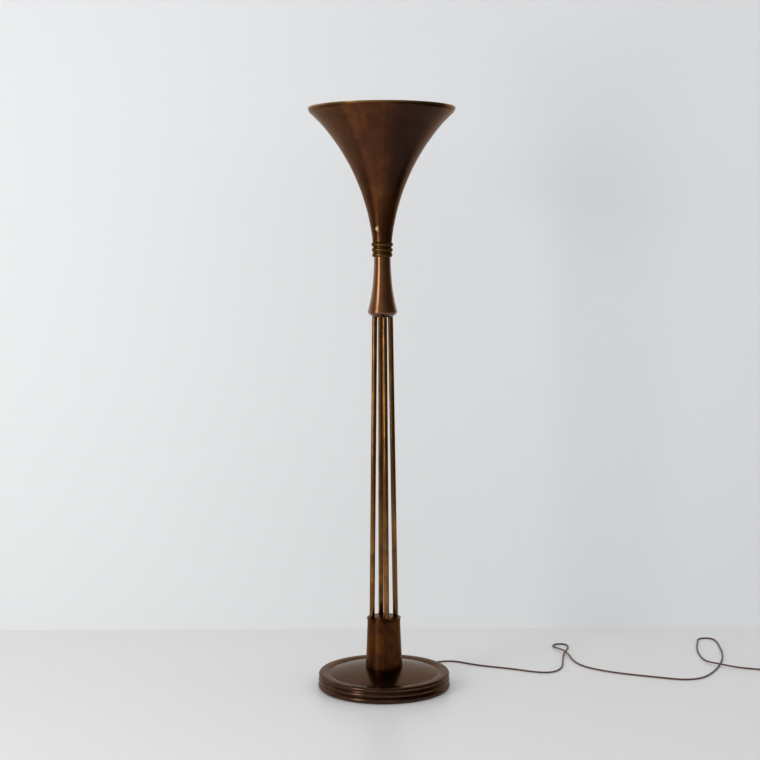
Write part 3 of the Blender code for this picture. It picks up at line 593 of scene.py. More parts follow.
# ---- shapes -------------------------------------------------------------------------------------
def spline(points: Sequence[Sequence[float]], samples: int) -> np.ndarray:
    """Follows the natural cubic spline through points.

    Args:
        points: The points, of two or three numbers each.
        samples: How many points to give for each stretch between two of them.

    Returns:
        One row for each point along the spline, both ends among them.
    """
    knots = np.array(points, float)
    gaps = np.linalg.norm(np.diff(knots, axis=0), axis=1)
    count = len(knots)
    system = np.eye(count)
    target = np.zeros_like(knots)
    for i in range(1, count - 1):
        system[i, i - 1 : i + 2] = gaps[i - 1], 2 * (gaps[i - 1] + gaps[i]), gaps[i]
        target[i] = 6 * ((knots[i + 1] - knots[i]) / gaps[i] - (knots[i] - knots[i - 1]) / gaps[i - 1])
    bends = np.linalg.solve(system, target)
    found = []
    for i, gap in enumerate(gaps):
        for on in np.linspace(0, gap, samples, endpoint=False):
            left = gap - on
            near = bends[i] * left**3 / (6 * gap) + (knots[i] / gap - bends[i] * gap / 6) * left
            far = bends[i + 1] * on**3 / (6 * gap) + (knots[i + 1] / gap - bends[i + 1] * gap / 6) * on
            found.append(near + far)
    return np.array([*found, knots[-1]])


def smooth_line(points: Sequence[tuple[float, float]], samples: int = 6) -> Line:
    """A section's line drawn smoothly through its points."""
    return [(float(r), float(z)) for r, z in spline(points, samples)]


def arc(
    middle: tuple[float, float], reach: tuple[float, float], start: float, end: float, count: int = 12
) -> Line:
    """Part of an ellipse in a section.

    Args:
        middle: Its centre's radius and height.
        reach: Its half-sizes along the radius and the height.
        start: Where it starts, in degrees above the outward direction.
        end: Where it ends.
        count: How many steps it has.

    Returns:
        The points from start to end.
    """
    angles = [math.radians(start + (end - start) * i / count) for i in range(count + 1)]
    return [(middle[0] + reach[0] * math.cos(a), middle[1] + reach[1] * math.sin(a)) for a in angles]


def walled(outer: Line, wall: float) -> Line:
    """Closes an outer line with the same line set in by the wall.

    Args:
        outer: The line, which runs down the outside.
        wall: The wall's thickness.

    Returns:
        The closed section.
    """
    line = np.array(outer)
    along = np.gradient(line, axis=0)
    along /= np.linalg.norm(along, axis=1)[:, None]
    inner = line + wall * np.stack([along[:, 1], -along[:, 0]], axis=1)
    inner[:, 0] = np.maximum(inner[:, 0], 0.0)
    return [*outer, *((float(r), float(z)) for r, z in inner[::-1])]


def toward(azimuth: float) -> Vector:
    """The level direction at an azimuth in degrees, from +X towards +Y."""
    return Vector((math.cos(math.radians(azimuth)), math.sin(math.radians(azimuth)), 0.0))


def run_length(path: np.ndarray) -> np.ndarray:
    """How far along a path each of its points lies."""
    return np.concatenate([[0.0], np.cumsum(np.linalg.norm(np.diff(path, axis=0), axis=1))])


def squared(angle: float, power: float) -> tuple[float, float]:
    """Finds a point on a rounded square of half-side one.

    Args:
        angle: The point's angle round it, in radians.
        power: How square it is; two gives a circle.

    Returns:
        The point's two coordinates.
    """
    side, rise = math.cos(angle), math.sin(angle)
    out = (abs(side) ** power + abs(rise) ** power) ** (-1 / power)
    return side * out, rise * out


def bridge(shape: bmesh.types.BMesh, lower: Sequence, upper: Sequence) -> list[bmesh.types.BMFace]:
    """Joins two rings of points with a band of faces.

    Args:
        shape: What the faces go into.
        lower: The first ring's points.
        upper: The second ring's, as many.

    Returns:
        The faces, in order round the rings.
    """
    pairs = list(zip(lower, upper))
    return [shape.faces.new((a, c, d, b)) for (a, b), (c, d) in zip(pairs, [*pairs[1:], pairs[0]])]


def mesh_of(name: str, shape: bmesh.types.BMesh) -> bpy.types.Mesh:
    """Makes a plain mesh of a shape, which is then let go.

    Args:
        name: The mesh's name.
        shape: The shape.

    Returns:
        The mesh.
    """
    mesh = bpy.data.meshes.new(name)
    shape.to_mesh(mesh)
    shape.free()
    return mesh


def block(middle: Sequence[float], size: Sequence[float]) -> bmesh.types.BMesh:
    """Makes a square-cornered block.

    Args:
        middle: Its middle, in millimetres.
        size: Its three sizes, in millimetres.

    Returns:
        The block's shape.
    """
    shape = bmesh.new()
    stretch = Matrix.Diagonal((*(side * MM for side in size), 1.0))
    place = Matrix.Translation([on * MM for on in middle])
    bmesh.ops.create_cube(shape, size=1.0, matrix=place @ stretch)
    return shape


def cut_out(name: str, mesh: bpy.types.Mesh, tool: bmesh.types.BMesh) -> bpy.types.Mesh:
    """Cuts a tool's shape out of a mesh.

    Args:
        name: The mesh's name.
        mesh: What is cut.
        tool: The shape that is taken out of it.

    Returns:
        What is left.
    """
    blank = link(name, mesh)
    cutter = link(name + "_cutter", mesh_of(name + "_cutter", tool))
    taken = blank.modifiers.new("cut", "BOOLEAN")
    taken.object = cutter
    taken.operation = "DIFFERENCE"
    graph = bpy.context.evaluated_depsgraph_get()
    made = bpy.data.meshes.new_from_object(blank.evaluated_get(graph))
    bpy.data.objects.remove(blank)
    bpy.data.objects.remove(cutter)
    return made


def link(name: str, mesh: bpy.types.Mesh) -> bpy.types.Object:
    """Puts a mesh in the scene as an object at the origin.

    Args:
        name: The name of both.
        mesh: The mesh.

    Returns:
        The object.
    """
    mesh.name = name
    piece = bpy.data.objects.new(name, mesh)
    bpy.context.scene.collection.objects.link(piece)
    return piece


def clean(mesh: bpy.types.Mesh, crease: float = 32.0) -> bpy.types.Mesh:
    """Turns a closed mesh right side out and shades it smooth.

    Args:
        mesh: The mesh.
        crease: The angle in degrees past which an edge stays sharp.

    Returns:
        The same mesh.
    """
    solid = bmesh.new()
    solid.from_mesh(mesh)
    bmesh.ops.dissolve_degenerate(solid, dist=0.001 * MM, edges=solid.edges)
    if solid.calc_volume(signed=True) < 0:
        bmesh.ops.reverse_faces(solid, faces=solid.faces)
    solid.to_mesh(mesh)
    solid.free()
    mesh.shade_smooth()
    mesh.set_sharp_from_angle(angle=math.radians(crease))
    return mesh


def through(
    tree: bpy.types.NodeTree, name: str, mesh: bpy.types.Mesh, values: Mapping[str, object]
) -> bpy.types.Mesh:
    """Runs a mesh through a Geometry Nodes tree.

    Args:
        tree: The tree.
        name: The result's name.
        mesh: What goes in.
        values: The tree's inputs by name.

    Returns:
        The plain mesh that comes out.
    """
    carrier = link(name + "_blank", mesh)
    nodes = carrier.modifiers.new("nodes", "NODES")
    nodes.node_group = tree
    for item in tree.interface.items_tree:
        if item.in_out == "INPUT" and item.name in values:
            nodes[item.identifier] = values[item.name]
    graph = bpy.context.evaluated_depsgraph_get()
    made = bpy.data.meshes.new_from_object(carrier.evaluated_get(graph))
    carrier.modifiers.remove(nodes)
    bpy.data.objects.remove(carrier)
    return made


class Lathe:
    """Geometry Nodes that turn a section round the Z axis, as the spinner's and the turner's lathe does."""

    RAIL = 1.0  # radius of the circle that carries the section

    def __init__(self) -> None:
        """Builds the tree: the section, laid against a circle, sweeps along it."""
        self.tree = tree = bpy.data.node_groups.new("lathe", "GeometryNodeTree")
        add = partial(add_node, tree)
        for name, kind in (("Section", "Geometry"), ("Steps", "Int"), ("Finish", "Material")):
            tree.interface.new_socket(name, in_out="INPUT", socket_type="NodeSocket" + kind)
        tree.interface.new_socket("Turned", in_out="OUTPUT", socket_type="NodeSocketGeometry")
        given = add("NodeGroupInput")
        place = add("ShaderNodeSeparateXYZ", {0: add("GeometryNodeInputPosition").outputs[0]})
        inset = add("ShaderNodeMath", {0: place.outputs[0], 1: self.RAIL}, operation="SUBTRACT")
        fall = add("ShaderNodeMath", {0: place.outputs[2], 1: -1.0}, operation="MULTIPLY")
        laid = add("ShaderNodeCombineXYZ", {0: inset.outputs[0], 1: fall.outputs[0]})
        section = add(
            "GeometryNodeSetPosition", {"Geometry": given.outputs["Section"], "Position": laid.outputs[0]}
        )
        line = add("GeometryNodeMeshToCurve", {0: section.outputs[0]})
        circle = add(
            "GeometryNodeCurvePrimitiveCircle", {"Resolution": given.outputs["Steps"], "Radius": self.RAIL}
        )
        rail = add("GeometryNodeSetCurveNormal", {0: circle.outputs[0]}, mode="Z_UP")
        swept = add("GeometryNodeCurveToMesh", {"Curve": rail.outputs[0], "Profile Curve": line.outputs[0]})
        merged = add("GeometryNodeMergeByDistance", {"Geometry": swept.outputs[0], "Distance": 0.005 * MM})
        real = add("GeometryNodeRealizeInstances", {0: merged.outputs[0]})
        dressed = add(
            "GeometryNodeSetMaterial", {"Geometry": real.outputs[0], "Material": given.outputs["Finish"]}
        )
        add("NodeGroupOutput", {0: dressed.outputs[0]})

    def turn(
        self, name: str, section: Line, finish: bpy.types.Material, steps: int = 96, closed: bool = True
    ) -> bpy.types.Mesh:
        """Turns a section.

        Args:
            name: The mesh's name.
            section: Its line, down the outer side. An open one starts and ends on the axis.
            finish: Its material.
            steps: The facets round it.
            closed: Whether the line's end joins its start.

        Returns:
            The turned mesh, round the Z axis, in metres.
        """
        count = len(section)
        edges = [(i, i + 1) for i in range(count - 1)]
        if closed:
            edges.append((count - 1, 0))
        mesh = bpy.data.meshes.new(name)
        mesh.from_pydata([(r * MM, 0.0, z * MM) for r, z in section], edges, [])
        return clean(through(self.tree, name, mesh, {"Steps": steps, "Finish": finish}))


class RingOfCopies:
    """Geometry Nodes that repeat one item, made at the +X side, evenly round the Z axis."""

    def __init__(self) -> None:
        """Builds the tree: points at the origin, each turned a step further, carry the item."""
        self.tree = tree = bpy.data.node_groups.new("ring_of_copies", "GeometryNodeTree")
        add = partial(add_node, tree)
        sockets = (("Item", "Geometry"), ("Count", "Int"), ("First angle", "Float"), ("Finish", "Material"))
        for name, kind in sockets:
            tree.interface.new_socket(name, in_out="INPUT", socket_type="NodeSocket" + kind)
        tree.interface.new_socket("Ring", in_out="OUTPUT", socket_type="NodeSocketGeometry")
        given = add("NodeGroupInput")
        points = add("GeometryNodePoints", {"Count": given.outputs["Count"]})
        step = add("ShaderNodeMath", {0: 2 * math.pi, 1: given.outputs["Count"]}, operation="DIVIDE")
        number = add("GeometryNodeInputIndex")
        angle = add(
            "ShaderNodeMath",
            {0: number.outputs[0], 1: step.outputs[0], 2: given.outputs["First angle"]},
            operation="MULTIPLY_ADD",
        )
        turn = add("ShaderNodeCombineXYZ", {2: angle.outputs[0]})
        copies = add(
            "GeometryNodeInstanceOnPoints",
            {"Points": points.outputs[0], "Instance": given.outputs["Item"], "Rotation": turn.outputs[0]},
        )
        real = add("GeometryNodeRealizeInstances", {0: copies.outputs[0]})
        dressed = add(
            "GeometryNodeSetMaterial", {"Geometry": real.outputs[0], "Material": given.outputs["Finish"]}
        )
        add("NodeGroupOutput", {0: dressed.outputs[0]})

    def repeat(
        self, name: str, item: bpy.types.Mesh, finish: bpy.types.Material, count: int, first_degrees: float
    ) -> bpy.types.Mesh:
        """Repeats an item.

        Args:
            name: The mesh's name.
            item: What is repeated.
            finish: Its material.
            count: How many there are.
            first_degrees: Where the first stands, from +X towards +Y.

        Returns:
            All the copies as one mesh.
        """
        values = {"Count": count, "First angle": math.radians(first_degrees), "Finish": finish}
        return clean(through(self.tree, name, item, values))


def swept_tube(name: str, path: np.ndarray, radius: float, sides: int) -> bpy.types.Mesh:
    """A round tube along a path, with turns round it and metres along it as its UV map.

    Args:
        name: The mesh's name.
        path: The points it follows, in metres.
        radius: Its radius in metres.
        sides: The facets round it.

    Returns:
        The closed tube.
    """
    along = np.gradient(path, axis=0)
    along /= np.linalg.norm(along, axis=1)[:, None]
    across = np.cross(along, (0.0, 0.0, 1.0))
    across /= np.linalg.norm(across, axis=1)[:, None]
    upward = np.cross(across, along)
    metres = run_length(path)
    angles = np.linspace(0.0, 2 * math.pi, sides, endpoint=False)
    sideways = np.cos(angles)[None, :, None] * across[:, None, :]
    upwards = np.sin(angles)[None, :, None] * upward[:, None, :]
    rings = path[:, None, :] + radius * (sideways + upwards)
    tube = bmesh.new()
    layer = tube.loops.layers.uv.new("UVMap")
    rows = [[tube.verts.new(point) for point in ring] for ring in rings]
    for i, (lower, upper) in enumerate(zip(rows, rows[1:])):
        for j, face in enumerate(bridge(tube, lower, upper)):
            ends = ((j, i), (j + 1, i), (j + 1, i + 1), (j, i + 1))
            for loop, (turn, row) in zip(face.loops, ends):
                loop[layer].uv = (turn / sides, metres[row])
    tube.faces.new(rows[0][::-1])
    tube.faces.new(rows[-1])
    return clean(mesh_of(name, tube))


def settle(
    name: str, mesh: bpy.types.Mesh, replaced: Sequence[str], body: Body = Body.LAMP
) -> bpy.types.Object:
    """Makes a finished mesh a piece of the lamp.

    Args:
        name: The piece's name.
        mesh: Its mesh, in place.
        replaced: The frame's nodes that it stands for.
        body: The body that it moves with.

    Returns:
        The piece.
    """
    piece = link(name, mesh)
    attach(piece, body.value)
    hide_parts(*replaced)
    LOG.info("%s: %d faces", name, len(mesh.polygons))
    return piece


def low(node: str) -> float:
    """A node's lowest height, in millimetres."""
    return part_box(node)[0].z / MM


def high(node: str) -> float:
    """A node's greatest height, in millimetres."""
    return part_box(node)[1].z / MM


def reach_of(node: str) -> float:
    """How far a node on the lamp's axis reaches from it, in millimetres."""
    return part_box(node)[1].x / MM


def centre_of(node: str) -> Vector:
    """The middle of a node's box, in metres."""
    corner, far_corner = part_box(node)
    return (corner + far_corner) / 2


# ---- the workshop -------------------------------------------------------------------------------
@dataclass
class Workshop:
    """What every sub-assembly is made with."""

    finishes: Finishes = field(default_factory=Finishes)
    lathe: Lathe = field(default_factory=Lathe)
    ring: RingOfCopies = field(default_factory=RingOfCopies)

    def turned(
        self,
        name: str,
        section: Line,
        finish: bpy.types.Material,
        slot: Slot,
        replaced: Sequence[str],
        steps: int = 96,
        closed: bool = True,
    ) -> bpy.types.Object:
        """Turns a section into a piece of the lamp round its axis, as Lathe.turn and settle say."""
        return settle(name, self.lathe.turn(name, section, finish, steps, closed), replaced)


@dataclass
class SubAssembly:
    """A group of pieces that is made together, in one workshop."""

    shop: Workshop


# ---- camera, floor and light --------------------------------------------------------------------
@dataclass
class Studio:
    """A plain pale floor and wall, one soft window-like light, and the camera."""

    camera_place: tuple[float, float, float] = (0.0, -4.369, 1.2491)
    camera_down: float = 4.41
    camera_left: float = 0.109
    camera_roll: float = -0.25
    lens: float = 70.91
    wall_y: float = 0.70
    floor_colour: str = "#e9e8e6"
    wall_colour: str = "#eceded"
    near_floor: float = 2.4
    far_floor: float = 14.0
    wall_half_width: float = 5.0
    wall_height: float = 4.5
    window_place: tuple[float, float, float] = (-2.7, -2.5, 1.5)
    window_aim: tuple[float, float, float] = (0.0, 0.0, 1.2)
    window_size: tuple[float, float] = (0.9, 2.4)
    window_watts: float = 42.0
    dim_from: float = 1.5  # to the right of this the wall isn't mirrored in the metal

    def place_camera(self) -> None:
        """Makes the camera and gives it to the scene."""
        data = bpy.data.cameras.new("camera")
        data.lens = self.lens
        data.sensor_width = 36.0
        camera = bpy.data.objects.new("camera", data)
        camera.matrix_world = (
            Matrix.Translation(self.camera_place)
            @ Matrix.Rotation(math.radians(self.camera_left), 4, "Z")
            @ Matrix.Rotation(math.radians(90 - self.camera_down), 4, "X")
            @ Matrix.Rotation(math.radians(self.camera_roll), 4, "Z")
        )
        bpy.context.scene.collection.objects.link(camera)
        bpy.context.scene.camera = camera

    def painted(self, name: str, colour: str, roughness: float, one_sided: bool) -> bpy.types.Material:
        """A plain paint. A one-sided one lets through what comes from behind it.

        Args:
            name: The material's name.
            colour: Its colour.
            roughness: Its roughness.
            one_sided: Whether its back is clear, so that it hides nothing from behind.

        Returns:
            The material.
        """
        material, tree, shader = new_material(name)
        shader.inputs["Base Color"].default_value = linear(colour)
        shader.inputs["Roughness"].default_value = roughness
        if one_sided:
            back = add_node(tree, "ShaderNodeNewGeometry").outputs["Backfacing"]
            clear = add_node(tree, "ShaderNodeBsdfTransparent").outputs[0]
            both = add_node(tree, "ShaderNodeMixShader", {0: back, 1: shader.outputs[0], 2: clear})
            add_node(tree, "ShaderNodeOutputMaterial", {"Surface": both.outputs[0]}, is_active_output=True)
        return material

    def build_room(self) -> None:
        """Makes the floor, near and far, and the wall behind the lamp."""
        floor_paint = self.painted("pale_floor_paint", self.floor_colour, 0.38, False)
        wall_paint = self.painted("pale_wall_paint", self.wall_colour, 0.8, True)
        steps = 96
        rings = (("floor_near", 0.0, self.near_floor), ("floor_far", self.near_floor, self.far_floor))
        for name, inner, outer in rings:
            sheet = bmesh.new()
            rims = [
                [sheet.verts.new(toward(360.0 * i / steps) * radius) for i in range(steps)]
                for radius in (inner, outer)
                if radius
            ]
            if inner:
                bridge(sheet, rims[1], rims[0])
            else:
                sheet.faces.new(rims[0])
            mesh = mesh_of(name, sheet)
            mesh.materials.append(floor_paint)
            floor = link(name, mesh)
            floor.visible_glossy = name == "floor_near"
        half, height = self.wall_half_width, self.wall_height
        for name, left, right in (("wall", -half, self.dim_from), ("wall_dim_side", self.dim_from, half)):
            mesh = bpy.data.meshes.new(name)
            corners = ((left, 0.0), (right, 0.0), (right, height), (left, height))
            mesh.from_pydata([(x, self.wall_y, z) for x, z in corners], [], [(0, 1, 2, 3)])
            mesh.materials.append(wall_paint)
            wall = link(name, mesh)
            wall.visible_glossy = name == "wall"

    def build_light(self) -> None:
        """Lights the room evenly, with a window-like key from the front left, and a dim room to reflect."""
        data = bpy.data.lights.new("window", "AREA")
        data.shape = "RECTANGLE"
        data.size, data.size_y = self.window_size
        data.energy = self.window_watts
        window = bpy.data.objects.new("window", data)
        place = Vector(self.window_place)
        turn = (Vector(self.window_aim) - place).to_track_quat("-Z", "Y").to_matrix().to_4x4()
        window.matrix_world = Matrix.Translation(place) @ turn
        bpy.context.scene.collection.objects.link(window)
        world = bpy.data.worlds.new("room")
        world.use_nodes = True
        bpy.context.scene.world = world
        tree = world.node_tree
        tree.nodes.clear()
        even = add_node(tree, "ShaderNodeBackground", {"Color": linear("#f4f5f8"), "Strength": 0.88})
        way = add_node(tree, "ShaderNodeTexCoord").outputs["Generated"]
        side = add_node(tree, "ShaderNodeSeparateXYZ", {"Vector": way}).outputs[0]
        lit = add_node(
            tree,
            "ShaderNodeMapRange",
            {"Value": side, "From Min": 0.8, "From Max": -0.35, "To Min": 0.09, "To Max": 0.38},
            interpolation_type="SMOOTHSTEP",
        ).outputs[0]
        dim = add_node(tree, "ShaderNodeBackground", {"Color": linear("#fff6ea"), "Strength": lit})
        mirrored = add_node(tree, "ShaderNodeLightPath").outputs["Is Glossy Ray"]
        both = add_node(tree, "ShaderNodeMixShader", {0: mirrored, 1: even.outputs[0], 2: dim.outputs[0]})
        add_node(tree, "ShaderNodeOutputWorld", {"Surface": both.outputs[0]})
        bpy.context.scene.view_settings.view_transform = "Standard"


# ---- cord ---------------------------------------------------------------------------------------
@dataclass
class MainsCord(SubAssembly):
    """The braided mains cord: gland, free run along the floor, stored coil with its tie, and the plug."""

    diameter: float = 5.0
    rest: float = 2.8  # height of the cord's middle as it lies
    gland_azimuth: float = 58.0
    gland_height: float = 8.8
    start_radius: float = 224.3
    lane_radii: tuple[float, float] = (30.7, 25.6)  # outer and inner turns of the coil
    upper_lane: float = 7.9
    coil_from: float = 250.0  # azimuth where the cord joins the coil
    coil_to: float = 1440.0
    coil_step: float = 15.0
    tie_azimuth: float = 200.0
    plug_rear: float = 210.0
    ring_spacing: float = 1.6  # along the cord's mesh
    sides: int = 14

    def route(self) -> list[tuple[float, float, float]]:
        """The cord's points on the floor, in metres, from the gland to just short of the coil."""
        rest = self.rest * MM
        start = toward(self.gland_azimuth) * self.start_radius * MM
        return [
            (start.x, start.y, self.gland_height * MM),
            (0.1340, 0.2140, 0.0072),
            (0.1760, 0.2585, rest),
            (0.2140, 0.2640, rest),
            (0.2520, 0.2440, rest),
            (0.2900, 0.2190, rest),
            (0.4140, 0.1620, rest),
            (0.4700, 0.1340, rest),
            (0.5110, 0.1330, rest),
            (0.5430, 0.1700, rest),
            (0.5600, 0.2420, rest),
            (0.5690, 0.3050, rest),
            (0.5810, 0.3668, rest),
            (0.6008, 0.4420, rest),
            (0.5968, 0.4635, rest),
            (0.5778, 0.4738, rest),
            (0.5590, 0.4640, rest),
            (0.5530, 0.4440, rest + 0.1 * MM),
            (0.5620, 0.4150, rest + 2.2 * MM),
            (0.5790, 0.3668, rest + 5.5 * MM),
            (0.5895, 0.3250, rest + 3.0 * MM),
            (0.5950, 0.2800, rest + 0.3 * MM),
            (0.6240, 0.1960, rest),
            (0.6640, 0.1550, rest),
            (0.8450, 0.0640, rest),
            (0.8990, 0.0470, rest),
            (0.9440, 0.0550, rest),
            (0.9860, 0.0960, rest),
            (1.0390, 0.1960, rest),
            (1.0780, 0.3180, rest),
            (1.0950, 0.4450, rest),
            (1.0975, 0.5080, rest),
            (1.0910, 0.5325, rest),
            (1.0690, 0.5430, rest),
            (1.0480, 0.5320, rest),
            (1.0370, 0.5020, rest),
            (1.0180, 0.4210, rest),
            (1.0070, 0.3250, rest),
            (1.0130, 0.2530, rest + 1.0 * MM),
            (1.0390, 0.2010, rest + 5.6 * MM),
            (1.0910, 0.1760, rest + 1.6 * MM),
            (1.1560, 0.1540, rest),
            (1.1925, 0.1412, rest),
        ]

    def coil_centre(self) -> Vector:
        """The middle of the coil on the floor."""
        middle = centre_of("cord_coil")
        return Vector((middle.x, middle.y, 0.0))

    def coil(self) -> list[tuple[float, float, float]]:
        """The coil's turns: out and in on the floor, then in and out on top of them."""
        outer, inner = self.lane_radii
        radius_at = ((250, outer), (560, outer), (620, inner), (1200, inner), (1250, outer), (1440, outer))
        height_at = ((250, self.rest), (880, self.rest), (940, self.upper_lane), (1440, self.upper_lane))
        centre = self.coil_centre()
        found = []
        for azimuth in np.arange(self.coil_from, self.coil_to + 1, self.coil_step):
            radius = float(np.interp(azimuth, *zip(*radius_at))) * MM
            height = float(np.interp(azimuth, *zip(*height_at))) * MM
            place = centre + toward(azimuth) * radius
            found.append((place.x, place.y, height))
        return found

    def tail(self) -> list[tuple[float, float, float]]:
        """The short run from the top of the coil to the plug."""
        middle = centre_of("plug_body")
        leaves = Vector(self.coil()[-1])
        found = []
        for share, lift in ((0.3, 0.9), (0.65, 0.5), (0.93, 0.0)):
            way = leaves.lerp(Vector((middle.x, self.plug_rear * MM, middle.z)), share)
            bow = math.sin(share * math.pi) * 1.2 * MM
            found.append((way.x - bow, way.y, way.z + lift * 0.4 * MM))
        return [*found, (middle.x, (self.plug_rear + 3.0) * MM, middle.z)]

    def build_cord(self, extras: Sequence[bpy.types.Object]) -> None:
        """Args:
            extras: The pieces that belong to the cord: its gland, its tie and its plug. Not used.
        """
        path = spline([*self.route(), *self.coil(), *self.tail()], 16)
        metres = run_length(path)
        count = int(metres[-1] / (self.ring_spacing * MM))
        even = np.linspace(0.0, metres[-1], count)
        path = np.stack([np.interp(even, metres, path[:, k]) for k in range(3)], axis=1)
        mesh = swept_tube("mains_cord_braid", path, self.diameter / 2 * MM, self.sides)
        mesh.materials.append(self.shop.finishes.braid)
        cord = settle("mains_cord_braid", mesh, ["mains_cord", "cord_coil", "cord_tail"])

    def build_gland(self) -> bpy.types.Object:
        """The rubber gland: a flange in the cover's wall, a collar outside it, and a ribbed taper."""
        section: Line = [(0.0, 224.0), (3.0, 224.0), (3.5, 223.4)]
        ribs = 6
        for i in range(ribs):
            top = 222.5 - i * 3.8
            girth = 3.6 + i * 0.24
            section += [
                (girth - 0.5, top + 0.4), (girth, top), (girth + 0.08, top - 1.9), (girth - 0.4, top - 2.4)
            ]
            section.append((girth - 0.4, top - 3.0))
        section += [(4.9, 199.6), *arc((5.1, 197.6), (0.9, 1.5), 80, -80, 8), (4.6, 195.8), (4.6, 183.0)]
        section += [(5.3, 182.8), (5.3, 179.0), (0.0, 179.0)]
        mesh = self.shop.lathe.turn(
            "cord_gland_ribbed", section, self.shop.finishes.rubber, 40, closed=False
        )
        turn = toward(self.gland_azimuth).to_track_quat("Z", "Y").to_matrix().to_4x4()
        mesh.transform(Matrix.Translation((0, 0, self.gland_height * MM)) @ turn)
        return settle("cord_gland_ribbed", mesh, ["cord_gland"])

    def build_tie(self) -> bpy.types.Object:
        """The strap round the coil: a flat band bent to a rounded loop."""
        radius = sum(self.lane_radii) / 2 * MM
        outward, along = toward(self.tie_azimuth), toward(self.tie_azimuth + 90.0)
        middle = centre_of("cord_coil") + outward * radius
        half_width, half_height, thick, width = 5.9 * MM, 5.35 * MM, 0.7 * MM, 3.0 * MM
        section = ((0.0, -width), (0.0, width), (thick, width * 0.93), (thick, -width * 0.93))
        steps = 48
        band = bmesh.new()
        rows = []
        for i in range(steps):
            side, rise = squared(i * math.tau / steps, 4.0)
            row = []
            for lift, shift in section:
                across = outward * side * (half_width + lift)
                up = Vector((0, 0, rise * (half_height + lift)))
                row.append(band.verts.new(middle + across + up + along * shift))
            rows.append(row)
        for lower, upper in zip(rows, [*rows[1:], rows[0]]):
            bridge(band, lower, upper)
        mesh = mesh_of("coil_strap", band)
        mesh.materials.append(self.shop.finishes.rubber)
        return settle("coil_strap", clean(mesh), ["coil_tie"])

    def build_plug(self) -> list[bpy.types.Object]:
        """The moulded plug: a body that narrows to a ribbed neck at the cord, and two round pins."""
        corner, far_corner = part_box("plug_body")
        middle = (corner + far_corner) / 2
        half = (far_corner - corner) / 2
        stations = (
            # share of the length from the cord's end, of the width, of the thickness
            (0.0, 0.26, 0.46),
            (0.04, 0.30, 0.54),
            (0.16, 0.33, 0.56),
            (0.24, 0.52, 0.66),
            (0.36, 0.84, 0.84),
            (0.52, 0.97, 0.96),
            (0.80, 1.0, 1.0),
            (0.95, 0.97, 0.97),
            (1.0, 0.90, 0.88),
        )
        line = spline(stations, 6)
        sides, power = 40, 3.2
        body = bmesh.new()
        rows = []
        for share, wide, thick in line:
            groove = 0.94 if 0.06 < share < 0.2 and int(share * 60) % 2 else 1.0
            row = []
            for i in range(sides):
                side, rise = squared(i * math.tau / sides, power)
                x = middle.x + half.x * wide * side * groove
                z = middle.z + half.z * thick * rise * groove
                row.append(body.verts.new((x, corner.y + 2 * half.y * share, z)))
            rows.append(row)
        for lower, upper in zip(rows, rows[1:]):
            bridge(body, lower, upper)
        body.faces.new(rows[0])
        body.faces.new(rows[-1])
        bmesh.ops.recalc_face_normals(body, faces=body.faces)
        mesh = mesh_of("plug_moulding", body)
        mesh.materials.append(self.shop.finishes.bakelite)
        pieces = [settle("plug_moulding", clean(mesh), ["plug_body"])]
        for node in ("plug_pin_left", "plug_pin_right"):
            base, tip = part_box(node)
            radius, length = (tip.x - base.x) / 2 / MM, (tip.y - base.y) / MM
            section = [(0.0, length), *arc((radius * 0.35, length - 1.2), (radius * 0.65, 1.2), 90, 0, 6)]
            section += [(radius, 0.0), (0.0, 0.0)]
            pin = self.shop.lathe.turn(
                node + "_round", section, self.shop.finishes.nickel, 24, closed=False
            )
            stand = Matrix.Translation(((base.x + tip.x) / 2, base.y, (base.z + tip.z) / 2))
            pin.transform(stand @ Vector((0, 1, 0)).to_track_quat("Z", "Y").to_matrix().to_4x4())
            pieces.append(settle(node + "_round", pin, [node]))
        return pieces

    def build(self) -> None:
        """Makes everything from the gland to the plug."""
        extras = [self.build_gland(), self.build_tie(), *self.build_plug()]
        self.build_cord(extras)


